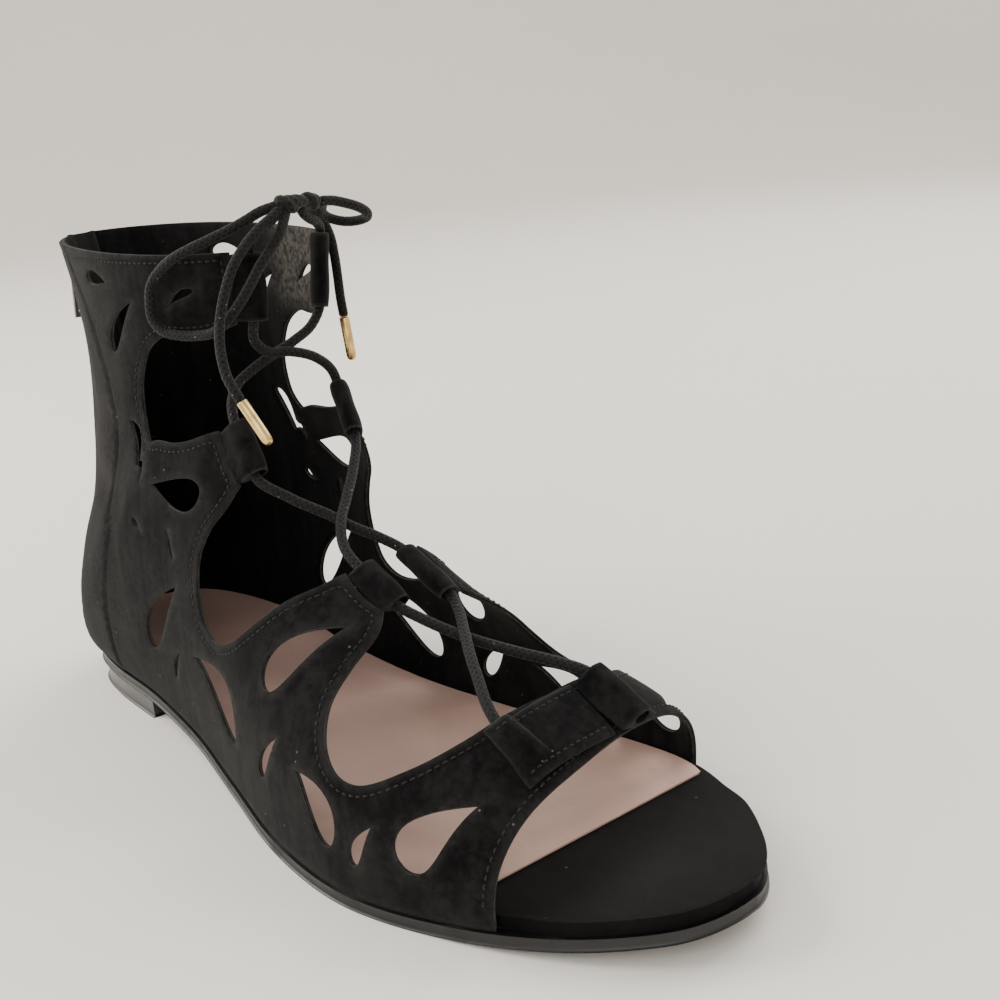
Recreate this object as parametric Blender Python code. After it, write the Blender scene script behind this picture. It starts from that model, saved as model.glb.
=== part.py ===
"""Right gladiator sandal: flat lace-up with cut-out quarters, ankle collar and back zip.

Metres. +X runs from heel to toe, +Y to the inner (medial) side of the right foot, +Z up.
The origin lies on the floor, under the middle of the heel. The last's own tables count
from the heel's back edge, and to_origin moves their points.
"""

import math
from collections import namedtuple

import bmesh
import bpy
import numpy as np
from mathutils import Vector
from mathutils.geometry import delaunay_2d_cdt

# Driving dimensions
LENGTH = 0.262
BALL_WIDTH = 0.088
HEEL_CENTRE = 0.026
COLLAR_HEIGHT = 0.143
HEEL_RAISE = 0.0072
TOE_SPRING = 0.0065
OUTSOLE = 0.0032
FOOTBED = 0.0042
LINER = 0.0010
WALL = 0.0014
GAP = 0.0003
UPPER_INSET = 0.0004
TOE_INSET = 0.0009
BLOCK_INSET = 0.0006
HEEL_CUP = 0.0010
FOOTBED_ROUND = 0.0012
LINER_INSET = 0.0012
TIP = 0.0004
BLOCK_END_ALONG = 0.205
LINER_END_ALONG = (0.812, 0.836)
OPEN_TOE_ALONG = (0.862, 0.905)
CUP_END_ALONG = (0.45, 0.70)

# Lace, tunnels and toe bridge
LACE = 0.0028
LACE_CLEARANCE = 0.0003
SLEEVE_WIDTH = 0.0082
SLEEVE_GAP = 0.0010
SLEEVE_THICKNESS = 0.0060
SLEEVE_WALL = 0.0011
SLEEVE_SINK = 0.0018
SLEEVE_END = 0.0006
TOE_SLEEVE_WIDTH = 0.0136
BRIDGE = 0.0012
BRIDGE_HUMP_HALF = 0.0048
HUMP_FADE = (0.45, 1.00)
AGLET_LENGTH = 0.0135
AGLET_DIAMETER = 0.0030

# Back zip
SLOT_HALF = 0.0038
TAPE_HALF = 0.0022
SLOT_FOOT_UP = 0.24
TAPE_REST_UP = 0.006
CHAIN_REST_UP = 0.010
GIRTH_PROBE = 0.02
GIRTH_STRETCH = 1.6
TAPE = 0.0009
TAPE_SINK = 0.0008
CHAIN_HALF = 0.0014
CHAIN = 0.0011
SLIDER_UP = 0.955
SLIDER_LENGTH = 0.0085
SLIDER_WIDTH = 0.0062
SLIDER_THICKNESS = 0.0018
LUG_GAP = 0.0026
LUG_WIDTH = 0.0008
LUG_REACH = 0.0050
PIN_RADIUS = 0.0005
PIN_CLEARANCE = 0.0001
EYE_WALL = 0.0008
PULL_LENGTH = 0.0185
PULL_WIDTH = 0.0048
NECK_LENGTH = 0.0016
PULL_THICKNESS = 0.0010
PULL_TILT = 10.0
WINDOW_LENGTH = 0.0050
WINDOW_WIDTH = 0.0026
WINDOW_EDGE = 0.0016

# Mesh steps
EDGE_STEP = 0.0044
CELL = 0.0082
GIRTH_SAMPLES = 40

LATERAL = -1
MEDIAL = 1

# Outline of the outsole: shares of LENGTH and of BALL_WIDTH
Outline = namedtuple("Outline", "along lateral medial")
OUTLINE = [
    Outline(0.000, 0.000, 0.000),
    Outline(0.038, -0.240, 0.225),
    Outline(0.115, -0.305, 0.305),
    Outline(0.210, -0.330, 0.328),
    Outline(0.344, -0.380, 0.310),
    Outline(0.458, -0.460, 0.330),
    Outline(0.573, -0.540, 0.398),
    Outline(0.687, -0.566, 0.468),
    Outline(0.800, -0.486, 0.490),
    Outline(0.897, -0.362, 0.376),
    Outline(0.954, -0.245, 0.245),
    Outline(0.985, -0.145, 0.145),
    Outline(1.000, 0.035, 0.035),
]

# Underside of the outsole: shares of HEEL_RAISE and of TOE_SPRING
Under = namedtuple("Under", "along heel toe")
UNDER = [
    Under(0.000, 1.00, 0.00),
    Under(0.210, 1.00, 0.00),
    Under(0.305, 0.72, 0.00),
    Under(0.420, 0.38, 0.00),
    Under(0.530, 0.10, 0.00),
    Under(0.610, 0.00, 0.00),
    Under(0.660, 0.00, 0.00),
    Under(0.745, 0.00, 0.00),
    Under(0.820, 0.00, 0.12),
    Under(0.900, 0.00, 0.42),
    Under(1.000, 0.00, 1.00),
]

# Sections of the last, fanned from the toe rim to the collar. Each leaves its base on the
# sole (base_up None) or on the back line and ends on the ridge. Along: shares of LENGTH,
# up: of COLLAR_HEIGHT, sides: of BALL_WIDTH. widest is the share of the way up where the
# section is widest, the powers give the fullness above it, and closed is 1 where the
# section shuts at its base.
Section = namedtuple(
    "Section",
    "name base_along base_up ridge_along ridge_up lateral medial widest ridge_side"
    " lateral_power medial_power closed",
)
SECTIONS = [
    Section("toe rim", 0.900, None, 0.880, 0.190, -0.372, 0.385, 0.22, 0.020, 2.3, 2.20, 0.00),
    Section("toe strap", 0.810, None, 0.800, 0.275, -0.485, 0.490, 0.22, 0.010, 2.3, 2.10, 0.00),
    Section("ball", 0.690, None, 0.700, 0.355, -0.560, 0.465, 0.22, 0.000, 2.3, 1.90, 0.00),
    Section("waist", 0.580, None, 0.600, 0.440, -0.540, 0.395, 0.22, 0.000, 2.2, 1.75, 0.00),
    Section("instep", 0.470, None, 0.520, 0.550, -0.475, 0.350, 0.24, 0.010, 2.1, 1.80, 0.00),
    Section("arch", 0.370, None, 0.462, 0.670, -0.410, 0.345, 0.26, 0.030, 2.0, 2.10, 0.05),
    Section("shank", 0.270, None, 0.430, 0.765, -0.370, 0.365, 0.30, 0.060, 2.0, 2.30, 0.15),
    Section("heel side", 0.170, None, 0.418, 0.825, -0.365, 0.385, 0.28, 0.085, 2.1, 2.40, 0.45),
    Section("heel turn", 0.080, None, 0.413, 0.862, -0.366, 0.390, 0.27, 0.100, 2.1, 2.40, 0.75),
    Section("heel seat", 0.022, None, 0.411, 0.880, -0.360, 0.390, 0.27, 0.110, 2.1, 2.40, 0.95),
    Section("heel back", 0.000, None, 0.410, 0.893, -0.350, 0.388, 0.27, 0.115, 2.1, 2.40, 1.00),
    Section("counter", -0.014, 0.190, 0.410, 0.912, -0.300, 0.385, 0.31, 0.125, 2.1, 2.40, 1.00),
    Section("calf", 0.006, 0.340, 0.410, 0.930, -0.255, 0.385, 0.38, 0.130, 2.0, 2.40, 1.00),
    Section("tendon", 0.026, 0.540, 0.410, 0.950, -0.228, 0.388, 0.44, 0.140, 2.0, 2.40, 1.00),
    Section("ankle", 0.038, 0.700, 0.410, 0.967, -0.220, 0.392, 0.47, 0.140, 2.0, 2.40, 1.00),
    Section("cuff", 0.032, 0.860, 0.410, 0.985, -0.215, 0.396, 0.49, 0.145, 2.0, 2.40, 1.00),
    Section("collar", 0.010, 1.000, 0.412, 1.000, -0.215, 0.400, 0.50, 0.150, 2.0, 2.40, 1.00),
]
LAST_ON_SOLE = 10

# Pattern of one side, drawn on the side view in which height is the share of the girth
# from sole to ridge. Shares of LENGTH and of COLLAR_HEIGHT.
Seam = namedtuple("Seam", "name upper_along upper_up lower_along lower_up")
SEAMS = {
    LATERAL: [
        Seam("collar", 0.346, 1.000, 0.357, 0.836),
        Seam("ankle", 0.374, 0.619, 0.420, 0.528),
        Seam("instep", 0.565, 0.400, 0.618, 0.353),
    ],
    MEDIAL: [
        Seam("collar", 0.346, 1.000, 0.357, 0.836),
        Seam("ankle", 0.382, 0.643, 0.428, 0.558),
        Seam("instep", 0.562, 0.420, 0.624, 0.351),
    ],
}
BAYS = {
    "ankle": [(0.336, 0.822), (0.305, 0.820), (0.275, 0.825), (0.254, 0.804), (0.239, 0.755),
              (0.235, 0.706), (0.242, 0.657), (0.263, 0.619), (0.294, 0.598), (0.328, 0.598),
              (0.359, 0.612)],
    "instep": [(0.408, 0.486), (0.389, 0.448), (0.376, 0.399), (0.378, 0.343), (0.393, 0.294),
               (0.420, 0.269), (0.458, 0.269), (0.496, 0.297), (0.534, 0.343), (0.557, 0.374)],
    "forefoot": [(0.632, 0.315), (0.636, 0.266), (0.639, 0.217), (0.653, 0.175), (0.677, 0.147),
                 (0.706, 0.140), (0.737, 0.154), (0.760, 0.178), (0.773, 0.210), (0.776, 0.245)],
}
STRAP_BACK_ALONG = 0.779
STRAP_FRONT_ALONG = 0.842
TOE_SEAM = ((0.784, 0.206), (0.841, 0.160))
TOE_TUNNEL = ((0.783, 0.240), (0.842, 0.190))
BRIDGE_BACK_ALONG = 0.782
BRIDGE_FRONT_ALONG = 0.839
BRIDGE_MEDIAL_GIRTH = 0.915
FRONT_EDGE = {
    LATERAL: [(0.849, 0.189), (0.853, 0.140), (0.855, 0.091), (0.852, 0.056)],
    MEDIAL: [(0.837, 0.172), (0.826, 0.126), (0.817, 0.084), (0.813, 0.056)],
}
FRONT_FOOT_ALONG = {LATERAL: 0.848, MEDIAL: 0.812}

# Teardrop cut-outs of each side: the point, the round end, the half width and the bend
Drop = namedtuple("Drop", "point_along point_up round_along round_up half_width bend")
DROPS = [
    Drop(0.197, 0.937, 0.150, 0.945, 0.0090, 0.10),
    Drop(0.238, 0.905, 0.190, 0.795, 0.0125, 0.15),
    Drop(0.281, 0.882, 0.313, 0.918, 0.0060, -0.20),
    Drop(0.252, 0.520, 0.214, 0.655, 0.0095, 0.30),
    Drop(0.270, 0.518, 0.366, 0.505, 0.0190, 0.10),
    Drop(0.256, 0.420, 0.236, 0.446, 0.0050, 0.00),
    Drop(0.312, 0.437, 0.324, 0.382, 0.0040, 0.10),
    Drop(0.334, 0.340, 0.252, 0.190, 0.0180, 0.12),
    Drop(0.334, 0.215, 0.304, 0.148, 0.0050, 0.20),
    Drop(0.368, 0.222, 0.486, 0.128, 0.0230, -0.22),
    Drop(0.587, 0.172, 0.548, 0.104, 0.0100, 0.10),
    Drop(0.618, 0.140, 0.680, 0.070, 0.0190, -0.25),
    Drop(0.734, 0.108, 0.706, 0.058, 0.0090, 0.10),
    Drop(0.820, 0.142, 0.766, 0.074, 0.0235, 0.10),
    Drop(0.608, 0.322, 0.543, 0.224, 0.0230, 0.10),
]
DROP_SHARPNESS = 1.3

# Lace routes: points chosen by hand in metres, counted as the last's tables are, on a
# shoe of ROUTES_DRAWN_AT length, ball width and collar height
ROUTES_DRAWN_AT = (0.262, 0.088, 0.143)
Point = namedtuple("Point", "along side up")
CROSSINGS = {
    "toe": [
        [Point(0.2105, -0.0171, 0.0399), Point(0.2065, -0.0172, 0.0420),
         Point(0.1915, -0.0105, 0.0489), Point(0.1774, -0.0014, 0.0529),
         Point(0.1700, 0.0036, 0.0545), Point(0.1640, 0.0061, 0.0567),
         Point(0.1605, 0.0059, 0.0586)],
        [Point(0.2120, 0.0136, 0.0408), Point(0.2082, 0.0135, 0.0428),
         Point(0.2048, 0.0122, 0.0443),
         Point(0.1990, 0.0095, 0.0458), Point(0.1890, 0.0042, 0.0480),
         Point(0.1785, -0.0011, 0.0507), Point(0.1675, -0.0070, 0.0554),
         Point(0.1615, -0.0094, 0.0583), Point(0.1580, -0.0096, 0.0602)],
    ],
    "instep": [
        [Point(0.1526, -0.0098, 0.0632), Point(0.1491, -0.0099, 0.0651),
         Point(0.1420, -0.0094, 0.0692), Point(0.1357, -0.0053, 0.0738),
         Point(0.1300, 0.0014, 0.0778), Point(0.1230, 0.0098, 0.0830),
         Point(0.1155, 0.0169, 0.0899), Point(0.1129, 0.0178, 0.0928)],
        [Point(0.1524, 0.0053, 0.0632), Point(0.1490, 0.0050, 0.0652),
         Point(0.1415, 0.0018, 0.0690), Point(0.1358, -0.0020, 0.0719),
         Point(0.1312, -0.0052, 0.0750), Point(0.1230, -0.0118, 0.0804),
         Point(0.1153, -0.0168, 0.0867), Point(0.1128, -0.0162, 0.0898)],
    ],
    "ankle": [
        [Point(0.1082, -0.0151, 0.0954), Point(0.1057, -0.0145, 0.0985),
         Point(0.1017, -0.0122, 0.1040), Point(0.0995, -0.0080, 0.1081),
         Point(0.0993, -0.0031, 0.1106), Point(0.1001, 0.0035, 0.1134),
         Point(0.1006, 0.0110, 0.1160), Point(0.1002, 0.0180, 0.1192),
         Point(0.0999, 0.0216, 0.1238), Point(0.0997, 0.0223, 0.1277)],
        [Point(0.1081, 0.0196, 0.0982), Point(0.1055, 0.0206, 0.1011),
         Point(0.1048, 0.0194, 0.1062), Point(0.1043, 0.0150, 0.1107),
         Point(0.1028, 0.0079, 0.1138), Point(0.1014, 0.0015, 0.1150),
         Point(0.1007, -0.0016, 0.1185), Point(0.1012, -0.0014, 0.1246),
         Point(0.1011, -0.0011, 0.1286)],
    ],
}
KNOT = [
    (Point(0.1045, 0.0075, 0.1532), 0.0010),
    (Point(0.1052, 0.0085, 0.1535), 0.0024),
    (Point(0.1064, 0.0105, 0.1538), 0.0029),
    (Point(0.1068, 0.0135, 0.1540), 0.0024),
    (Point(0.1063, 0.0160, 0.1541), 0.0018),
    (Point(0.1057, 0.0190, 0.1538), 0.0023),
    (Point(0.1055, 0.0212, 0.1530), 0.0021),
    (Point(0.1054, 0.0226, 0.1524), 0.0009),
]
CORDS = {
    "lace_loop_lateral": [
        Point(0.1030, 0.0042, 0.1527), Point(0.1011, 0.0010, 0.1510),
        Point(0.0988, -0.0035, 0.1489), Point(0.0959, -0.0080, 0.1470),
        Point(0.0928, -0.0122, 0.1452), Point(0.0883, -0.0158, 0.1427),
        Point(0.0836, -0.0175, 0.1396), Point(0.0800, -0.0188, 0.1356),
        Point(0.0786, -0.0192, 0.1310), Point(0.0786, -0.0192, 0.1263),
        Point(0.0813, -0.0184, 0.1232), Point(0.0870, -0.0163, 0.1219),
        Point(0.0924, -0.0141, 0.1219), Point(0.0976, -0.0124, 0.1228),
        Point(0.1018, -0.0105, 0.1256), Point(0.1042, -0.0074, 0.1296),
        Point(0.1061, -0.0040, 0.1346), Point(0.1078, -0.0011, 0.1394),
        Point(0.1090, 0.0024, 0.1436), Point(0.1094, 0.0058, 0.1474),
        Point(0.1084, 0.0076, 0.1494),
    ],
    "lace_end_lateral": [
        Point(0.1072, 0.0050, 0.1512), Point(0.1071, 0.0012, 0.1492),
        Point(0.1066, -0.0040, 0.1452), Point(0.1059, -0.0081, 0.1404),
        Point(0.1054, -0.0112, 0.1345), Point(0.1056, -0.0140, 0.1280),
        Point(0.1070, -0.0162, 0.1220), Point(0.1094, -0.0176, 0.1168),
        Point(0.1114, -0.0180, 0.1128), Point(0.1135, -0.0178, 0.1098),
        Point(0.1148, -0.0172, 0.1074),
    ],
    "lace_strand_lateral": [
        Point(0.1026, 0.0078, 0.1500), Point(0.1013, 0.0046, 0.1478),
        Point(0.1012, 0.0014, 0.1452), Point(0.1013, 0.0001, 0.1424),
        Point(0.1012, -0.0002, 0.1392),
    ],
    "lace_loop_medial": [
        Point(0.1059, 0.0266, 0.1525), Point(0.1064, 0.0300, 0.1514),
        Point(0.1066, 0.0340, 0.1498), Point(0.1058, 0.0374, 0.1478),
        Point(0.1032, 0.0392, 0.1460), Point(0.0996, 0.0382, 0.1450),
        Point(0.0964, 0.0354, 0.1452), Point(0.0949, 0.0318, 0.1468),
        Point(0.0965, 0.0288, 0.1490), Point(0.0998, 0.0268, 0.1508),
        Point(0.1018, 0.0254, 0.1516),
    ],
    "lace_strand_medial": [
        Point(0.1050, 0.0170, 0.1503), Point(0.1036, 0.0195, 0.1487),
        Point(0.1013, 0.0232, 0.1470), Point(0.0996, 0.0253, 0.1447),
        Point(0.0990, 0.0252, 0.1425), Point(0.0991, 0.0247, 0.1400),
    ],
    "lace_end_medial": [
        Point(0.1030, 0.0205, 0.1530), Point(0.0990, 0.0212, 0.1524),
        Point(0.0945, 0.0244, 0.1508), Point(0.0912, 0.0292, 0.1488),
        Point(0.0893, 0.0338, 0.1452), Point(0.0885, 0.0362, 0.1405),
        Point(0.0882, 0.0371, 0.1345), Point(0.0880, 0.0374, 0.1280),
        Point(0.0878, 0.0376, 0.1220), Point(0.0878, 0.0380, 0.1165),
    ],
}
AGLETS = {"aglet_lateral": "lace_end_lateral", "aglet_medial": "lace_end_medial"}


# Curves

def smooth(xs, ys, at, level=False):
    """Cubic through a table's rows, with slopes from the rows on both sides.

    With level the curve stays flat between equal rows and never passes beyond them.
    """
    xs = np.asarray(xs, float)
    ys = np.asarray(ys, float)
    at = np.asarray(at, float)
    step = np.diff(xs)
    rise = np.diff(ys) / step
    slope = np.empty_like(ys)
    slope[1:-1] = (rise[:-1] * step[1:] + rise[1:] * step[:-1]) / (step[1:] + step[:-1])
    slope[0] = 1.5 * rise[0] - 0.5 * slope[1]
    slope[-1] = 1.5 * rise[-1] - 0.5 * slope[-2]
    if level:
        slope[1:-1] *= rise[:-1] * rise[1:] > 0
    i = np.clip(np.searchsorted(xs, at) - 1, 0, len(xs) - 2)
    t = (at - xs[i]) / step[i]
    start = (1 + 2 * t) * (1 - t) ** 2 * ys[i] + t * (1 - t) ** 2 * step[i] * slope[i]
    return start + t * t * (3 - 2 * t) * ys[i + 1] + t * t * (t - 1) * step[i] * slope[i + 1]


def column(table, name):
    return np.array([getattr(row, name) for row in table], float)


def curve_through(points, step):
    """Points about a step apart on a smooth open curve through the given points."""
    points = np.asarray(points, float)
    along = np.concatenate([[0], np.cumsum(np.linalg.norm(np.diff(points, axis=0), axis=1))])
    count = max(2, round(along[-1] / step))
    at = np.linspace(0, along[-1], count + 1)
    return np.stack([smooth(along, points[:, k], at) for k in range(points.shape[1])], axis=1)


# Sole

def edge_y(x, side):
    """Edge of the outsole at x. The table is read over an angle, so both ends are round."""
    turn = np.arccos(np.clip(1 - 2 * column(OUTLINE, "along"), -1, 1))
    at = np.arccos(np.clip(1 - 2 * np.asarray(x, float) / LENGTH, -1, 1))
    name = "lateral" if side == LATERAL else "medial"
    return smooth(turn, column(OUTLINE, name), at) * BALL_WIDTH


def edge_place(turn, side, inset):
    """Place on the outline at an angle from the heel (0) to the toe (pi), moved inwards."""
    def on_edge(angle):
        x = LENGTH * (1 - np.cos(angle)) / 2
        return np.stack([x, edge_y(x, side)], axis=-1)

    small = 1e-3
    ahead = on_edge(np.clip(turn + small, 0, math.pi))
    behind = on_edge(np.clip(turn - small, 0, math.pi))
    way = ahead - behind
    inward = np.stack([way[..., 1], -way[..., 0]], axis=-1) * side
    inward /= np.linalg.norm(inward, axis=-1, keepdims=True)
    return on_edge(turn) + inward * np.asarray(inset)[..., None]


def turn_at(along):
    return math.acos(1 - 2 * along)


def under_z(x):
    """Height of the outsole's underside."""
    share = np.clip(np.asarray(x, float) / LENGTH, 0, 1)
    at = column(UNDER, "along")
    heel = smooth(at, column(UNDER, "heel"), share, level=True) * HEEL_RAISE
    return heel + smooth(at, column(UNDER, "toe"), share, level=True) * TOE_SPRING


def step_between(x, low, high):
    t = np.clip((np.asarray(x, float) - low) / (high - low), 0, 1)
    return t * t * (3 - 2 * t)


def footbed_inset(x):
    """The footbed lies inside the upper's wall, and comes out to the edge at the open toe."""
    under_upper = UPPER_INSET + WALL + GAP
    open_toe = step_between(np.asarray(x, float) / LENGTH, *OPEN_TOE_ALONG)
    return under_upper + (TOE_INSET - under_upper) * open_toe


def seat_z(x):
    """Top of the outsole, which carries the footbed and the upper's foot."""
    return under_z(x) + OUTSOLE


def footbed_top(x, across):
    hollow = 1 - step_between(np.asarray(x, float) / LENGTH, *CUP_END_ALONG)
    cup = HEEL_CUP * across ** 2 * hollow
    return seat_z(x) + GAP + FOOTBED + cup


def to_origin(points):
    return np.asarray(points, float) - [HEEL_CENTRE, 0, 0]


def make_object(name, vertices, faces, material, smooth_angle=40):
    mesh = bpy.data.meshes.new(name)
    mesh.from_pydata([tuple(map(float, v)) for v in to_origin(vertices)], [], faces)
    mesh.validate()
    mesh.update()
    mesh.shade_smooth()
    mesh.set_sharp_from_angle(angle=math.radians(smooth_angle))
    made = bpy.data.objects.new(name, mesh)
    made.data.materials.append(material)
    bpy.context.scene.collection.objects.link(made)
    return made


def layer(name, material, inset, low, high, ends=(1.0, 1.0), rounding=0.0, rows=28, columns=6):
    """A layer of the sole between two heights, over the outline moved inwards.

    Rows run from the heel to the two ends, given as shares of LENGTH for the lateral and
    the medial edge, and each row crosses from edge to edge.
    """
    start = turn_at(TIP)
    edges = []
    for side, end in zip((LATERAL, MEDIAL), ends):
        finish = turn_at(min(end, 1 - TIP))
        turn = np.linspace(start, finish, rows + 1)
        x = LENGTH * (1 - np.cos(turn)) / 2
        edges.append(edge_place(turn, side, inset(x)))
    share = (1 - np.cos(np.linspace(0, math.pi, columns + 1))) / 2
    share = 0.5 * share + 0.5 * np.linspace(0, 1, columns + 1)
    plan = edges[0][:, None] * (1 - share)[None, :, None] + edges[1][:, None] * share[None, :, None]
    x = plan[..., 0]
    across = (2 * share - 1)[None, :]
    rim = np.zeros(x.shape)
    rim[:, [0, -1]] = 1
    rim[0] = 1
    if min(ends) >= 1:
        rim[-1] = 1
    top = high(x, across) - rim * rounding
    bottom = low(x, across)
    vertices = np.concatenate([
        np.dstack([plan, top]).reshape(-1, 3),
        np.dstack([plan, bottom]).reshape(-1, 3),
    ])
    wide = columns + 1
    size = x.size
    faces = []
    for i in range(rows):
        for j in range(columns):
            a, b = i * wide + j, i * wide + j + 1
            c, d = b + wide, a + wide
            faces.append((a, d, c, b))
            faces.append((a + size, b + size, c + size, d + size))
        left, right = i * wide, i * wide + columns
        faces.append((left, left + size, left + wide + size, left + wide))
        faces.append((right, right + wide, right + wide + size, right + size))
    for j in range(columns):
        back, front = j, rows * wide + j
        faces.append((back, back + 1, back + 1 + size, back + size))
        faces.append((front, front + size, front + 1 + size, front + 1))
    return make_object(name, vertices, faces, material)


def build_sole(finish):
    def constant(value):
        return lambda x: np.full(np.shape(x), value)

    layer(
        "outsole", finish["rubber"], constant(0.0),
        lambda x, across: under_z(x) + 0 * across,
        lambda x, across: seat_z(x) + 0 * across,
        columns=3,
    )
    layer(
        "heel_block", finish["heel_rubber"], constant(BLOCK_INSET),
        lambda x, across: 0 * x + 0 * across,
        lambda x, across: under_z(x) - GAP + 0 * across,
        ends=(BLOCK_END_ALONG, BLOCK_END_ALONG), rows=9, columns=3,
    )
    layer(
        "footbed", finish["suede"], footbed_inset,
        lambda x, across: seat_z(x) + GAP + 0 * across,
        footbed_top,
        rounding=FOOTBED_ROUND,
    )
    layer(
        "sock_liner", finish["liner"], lambda x: footbed_inset(x) + LINER_INSET,
        lambda x, across: footbed_top(x, across) + GAP,
        lambda x, across: footbed_top(x, across) + GAP + LINER,
        ends=LINER_END_ALONG, rows=24, columns=5,
    )


# Last and pattern

def section_table():
    """The sections' numbers in metres, with the girth-wise share at which each one stands."""
    table = np.stack([column(SECTIONS, name) for name in Section._fields[3:]], axis=1)
    base_x = column(SECTIONS, "base_along") * LENGTH
    base_up = [seat_z(max(x, 0.0)) + GAP if row.base_up is None else row.base_up * COLLAR_HEIGHT
               for x, row in zip(base_x, SECTIONS)]
    base = np.stack([base_x, np.array(base_up, float)], axis=1)
    scale = np.array([LENGTH, COLLAR_HEIGHT, BALL_WIDTH, BALL_WIDTH, 1, BALL_WIDTH, 1, 1, 1])
    table = table * scale
    moved = np.linalg.norm(np.diff(base, axis=0), axis=1)
    moved += np.linalg.norm(np.diff(table[:, :2], axis=0), axis=1)
    stand = np.concatenate([[0], np.cumsum(moved)])
    return stand / stand[-1], np.concatenate([base, table], axis=1)


STAND, TABLE = section_table()


def section_values(stand):
    """Base, ridge and shape of the section at each stand, with its foot on the real edge."""
    values = np.stack([smooth(STAND, TABLE[:, k], stand) for k in range(TABLE.shape[1])], axis=-1)
    on_sole = stand <= STAND[LAST_ON_SOLE]
    x = np.clip(values[:, 0], 0, LENGTH)
    values[:, 1] = np.where(on_sole, seat_z(x) + GAP, values[:, 1])
    foot = {}
    for side in (LATERAL, MEDIAL):
        edge = edge_y(x, side)
        inside = side * np.maximum(side * edge - UPPER_INSET, 0)
        foot[side] = np.where(on_sole, inside, 0.0)
    return values, foot


def section_lines(stand, side):
    """Each section as a polyline: its share of the way to the ridge, its y and its length."""
    values, foot = section_values(stand)
    base, ridge = values[:, 0:2], values[:, 2:4]
    wide = values[:, 4] if side == LATERAL else values[:, 5]
    widest, ridge_y = values[:, 6:7], values[:, 7:8]
    power = values[:, 8:9] if side == LATERAL else values[:, 9:10]
    closed = values[:, 10:11]
    foot_y, wide = foot[side][:, None], wide[:, None]
    t = np.linspace(0, 1, GIRTH_SAMPLES)[None, :]
    angle = t * math.pi / 2
    low = widest * ((1 - closed) * t + closed * (1 - np.cos(angle)))
    low_y = foot_y + (wide - foot_y) * np.sin(angle)
    high = widest + (1 - widest) * np.sin(angle) ** (2 / power)
    high_y = ridge_y + (wide - ridge_y) * np.clip(np.cos(angle), 0, 1) ** (2 / power)
    up = np.concatenate([low, high[:, 1:]], axis=1)
    y = np.concatenate([low_y, high_y[:, 1:]], axis=1)
    reach = np.linalg.norm(ridge - base, axis=1)[:, None]
    pieces = np.hypot(np.diff(up, axis=1) * reach, np.diff(y, axis=1))
    length = np.concatenate([np.zeros((len(stand), 1)), np.cumsum(pieces, axis=1)], axis=1)
    return base, ridge, up, y, length


def last_place(stand, girth, side):
    """Point of the last's surface at a stand and a share of the girth from sole to ridge."""
    stand = np.atleast_1d(np.asarray(stand, float))
    girth = np.broadcast_to(np.asarray(girth, float), stand.shape)
    base, ridge, up, y, length = section_lines(stand, side)
    target = girth * length[:, -1]
    i = np.clip((length < target[:, None]).sum(axis=1) - 1, 0, length.shape[1] - 2)
    row = np.arange(len(stand))
    t = (target - length[row, i]) / np.maximum(length[row, i + 1] - length[row, i], 1e-12)
    at_up = up[row, i] + t * (up[row, i + 1] - up[row, i])
    at_y = y[row, i] + t * (y[row, i + 1] - y[row, i])
    place = base + at_up[:, None] * (ridge - base)
    return np.stack([place[:, 0], at_y, place[:, 1]], axis=1)


def girth_length(stand, side):
    return section_lines(np.atleast_1d(np.asarray(stand, float)), side)[4][:, -1]


FAN = np.linspace(0, 1, 600)
FAN_VALUES = section_values(FAN)[0]
FAN_BASE = FAN_VALUES[:, 0:2]
FAN_RIDGE = FAN_VALUES[:, 2:4]


def on_pattern(stand, girth):
    """Place in the side view of a stand and a share of the girth."""
    values = section_values(np.atleast_1d(np.asarray(stand, float)))[0]
    base, ridge = values[:, 0:2], values[:, 2:4]
    return base + np.reshape(girth, (-1, 1)) * (ridge - base)


def on_last(places):
    """Stand and share of the girth of places in the side view: the fan line through each."""
    places = np.atleast_2d(places)
    way = FAN_RIDGE - FAN_BASE
    to = places[:, None, :] - FAN_BASE[None]
    side_of = to[..., 0] * way[None, :, 1] - to[..., 1] * way[None, :, 0]
    crossed = side_of[:, :-1] * side_of[:, 1:] <= 0
    i = np.where(crossed.any(axis=1), crossed.argmax(axis=1), np.abs(side_of).argmin(axis=1))
    i = np.clip(i, 0, len(FAN) - 2)
    row = np.arange(len(places))
    first, second = side_of[row, i], side_of[row, i + 1]
    t = np.clip(first / np.where(first == second, 1, first - second), 0, 1)
    stand = FAN[i] + t * (FAN[i + 1] - FAN[i])
    base = FAN_BASE[i] + t[:, None] * (FAN_BASE[i + 1] - FAN_BASE[i])
    ridge = FAN_RIDGE[i] + t[:, None] * (FAN_RIDGE[i + 1] - FAN_RIDGE[i])
    line = ridge - base
    girth = ((places - base) * line).sum(axis=1) / (line ** 2).sum(axis=1)
    return stand, np.clip(girth, 0, 1)


def side_view(shares):
    return np.asarray(shares, float) * [LENGTH, COLLAR_HEIGHT]


def stand_of_foot(along):
    """Stand of the section whose base is at this share of LENGTH on the sole."""
    sole = FAN <= STAND[LAST_ON_SOLE]
    return float(np.interp(-along * LENGTH, -FAN_BASE[sole, 0], FAN[sole]))


def stand_of_ridge(along):
    """Stand of the section whose ridge is at this share of LENGTH, ahead of the instep."""
    ahead = FAN <= STAND[6]
    return float(np.interp(-along * LENGTH, -FAN_RIDGE[ahead, 0], FAN[ahead]))


def stand_of_back(up):
    """Stand of the section whose base is at this share of COLLAR_HEIGHT on the back line."""
    back = FAN >= STAND[LAST_ON_SOLE]
    return float(np.interp(up * COLLAR_HEIGHT, FAN_BASE[back, 1], FAN[back]))


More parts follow.
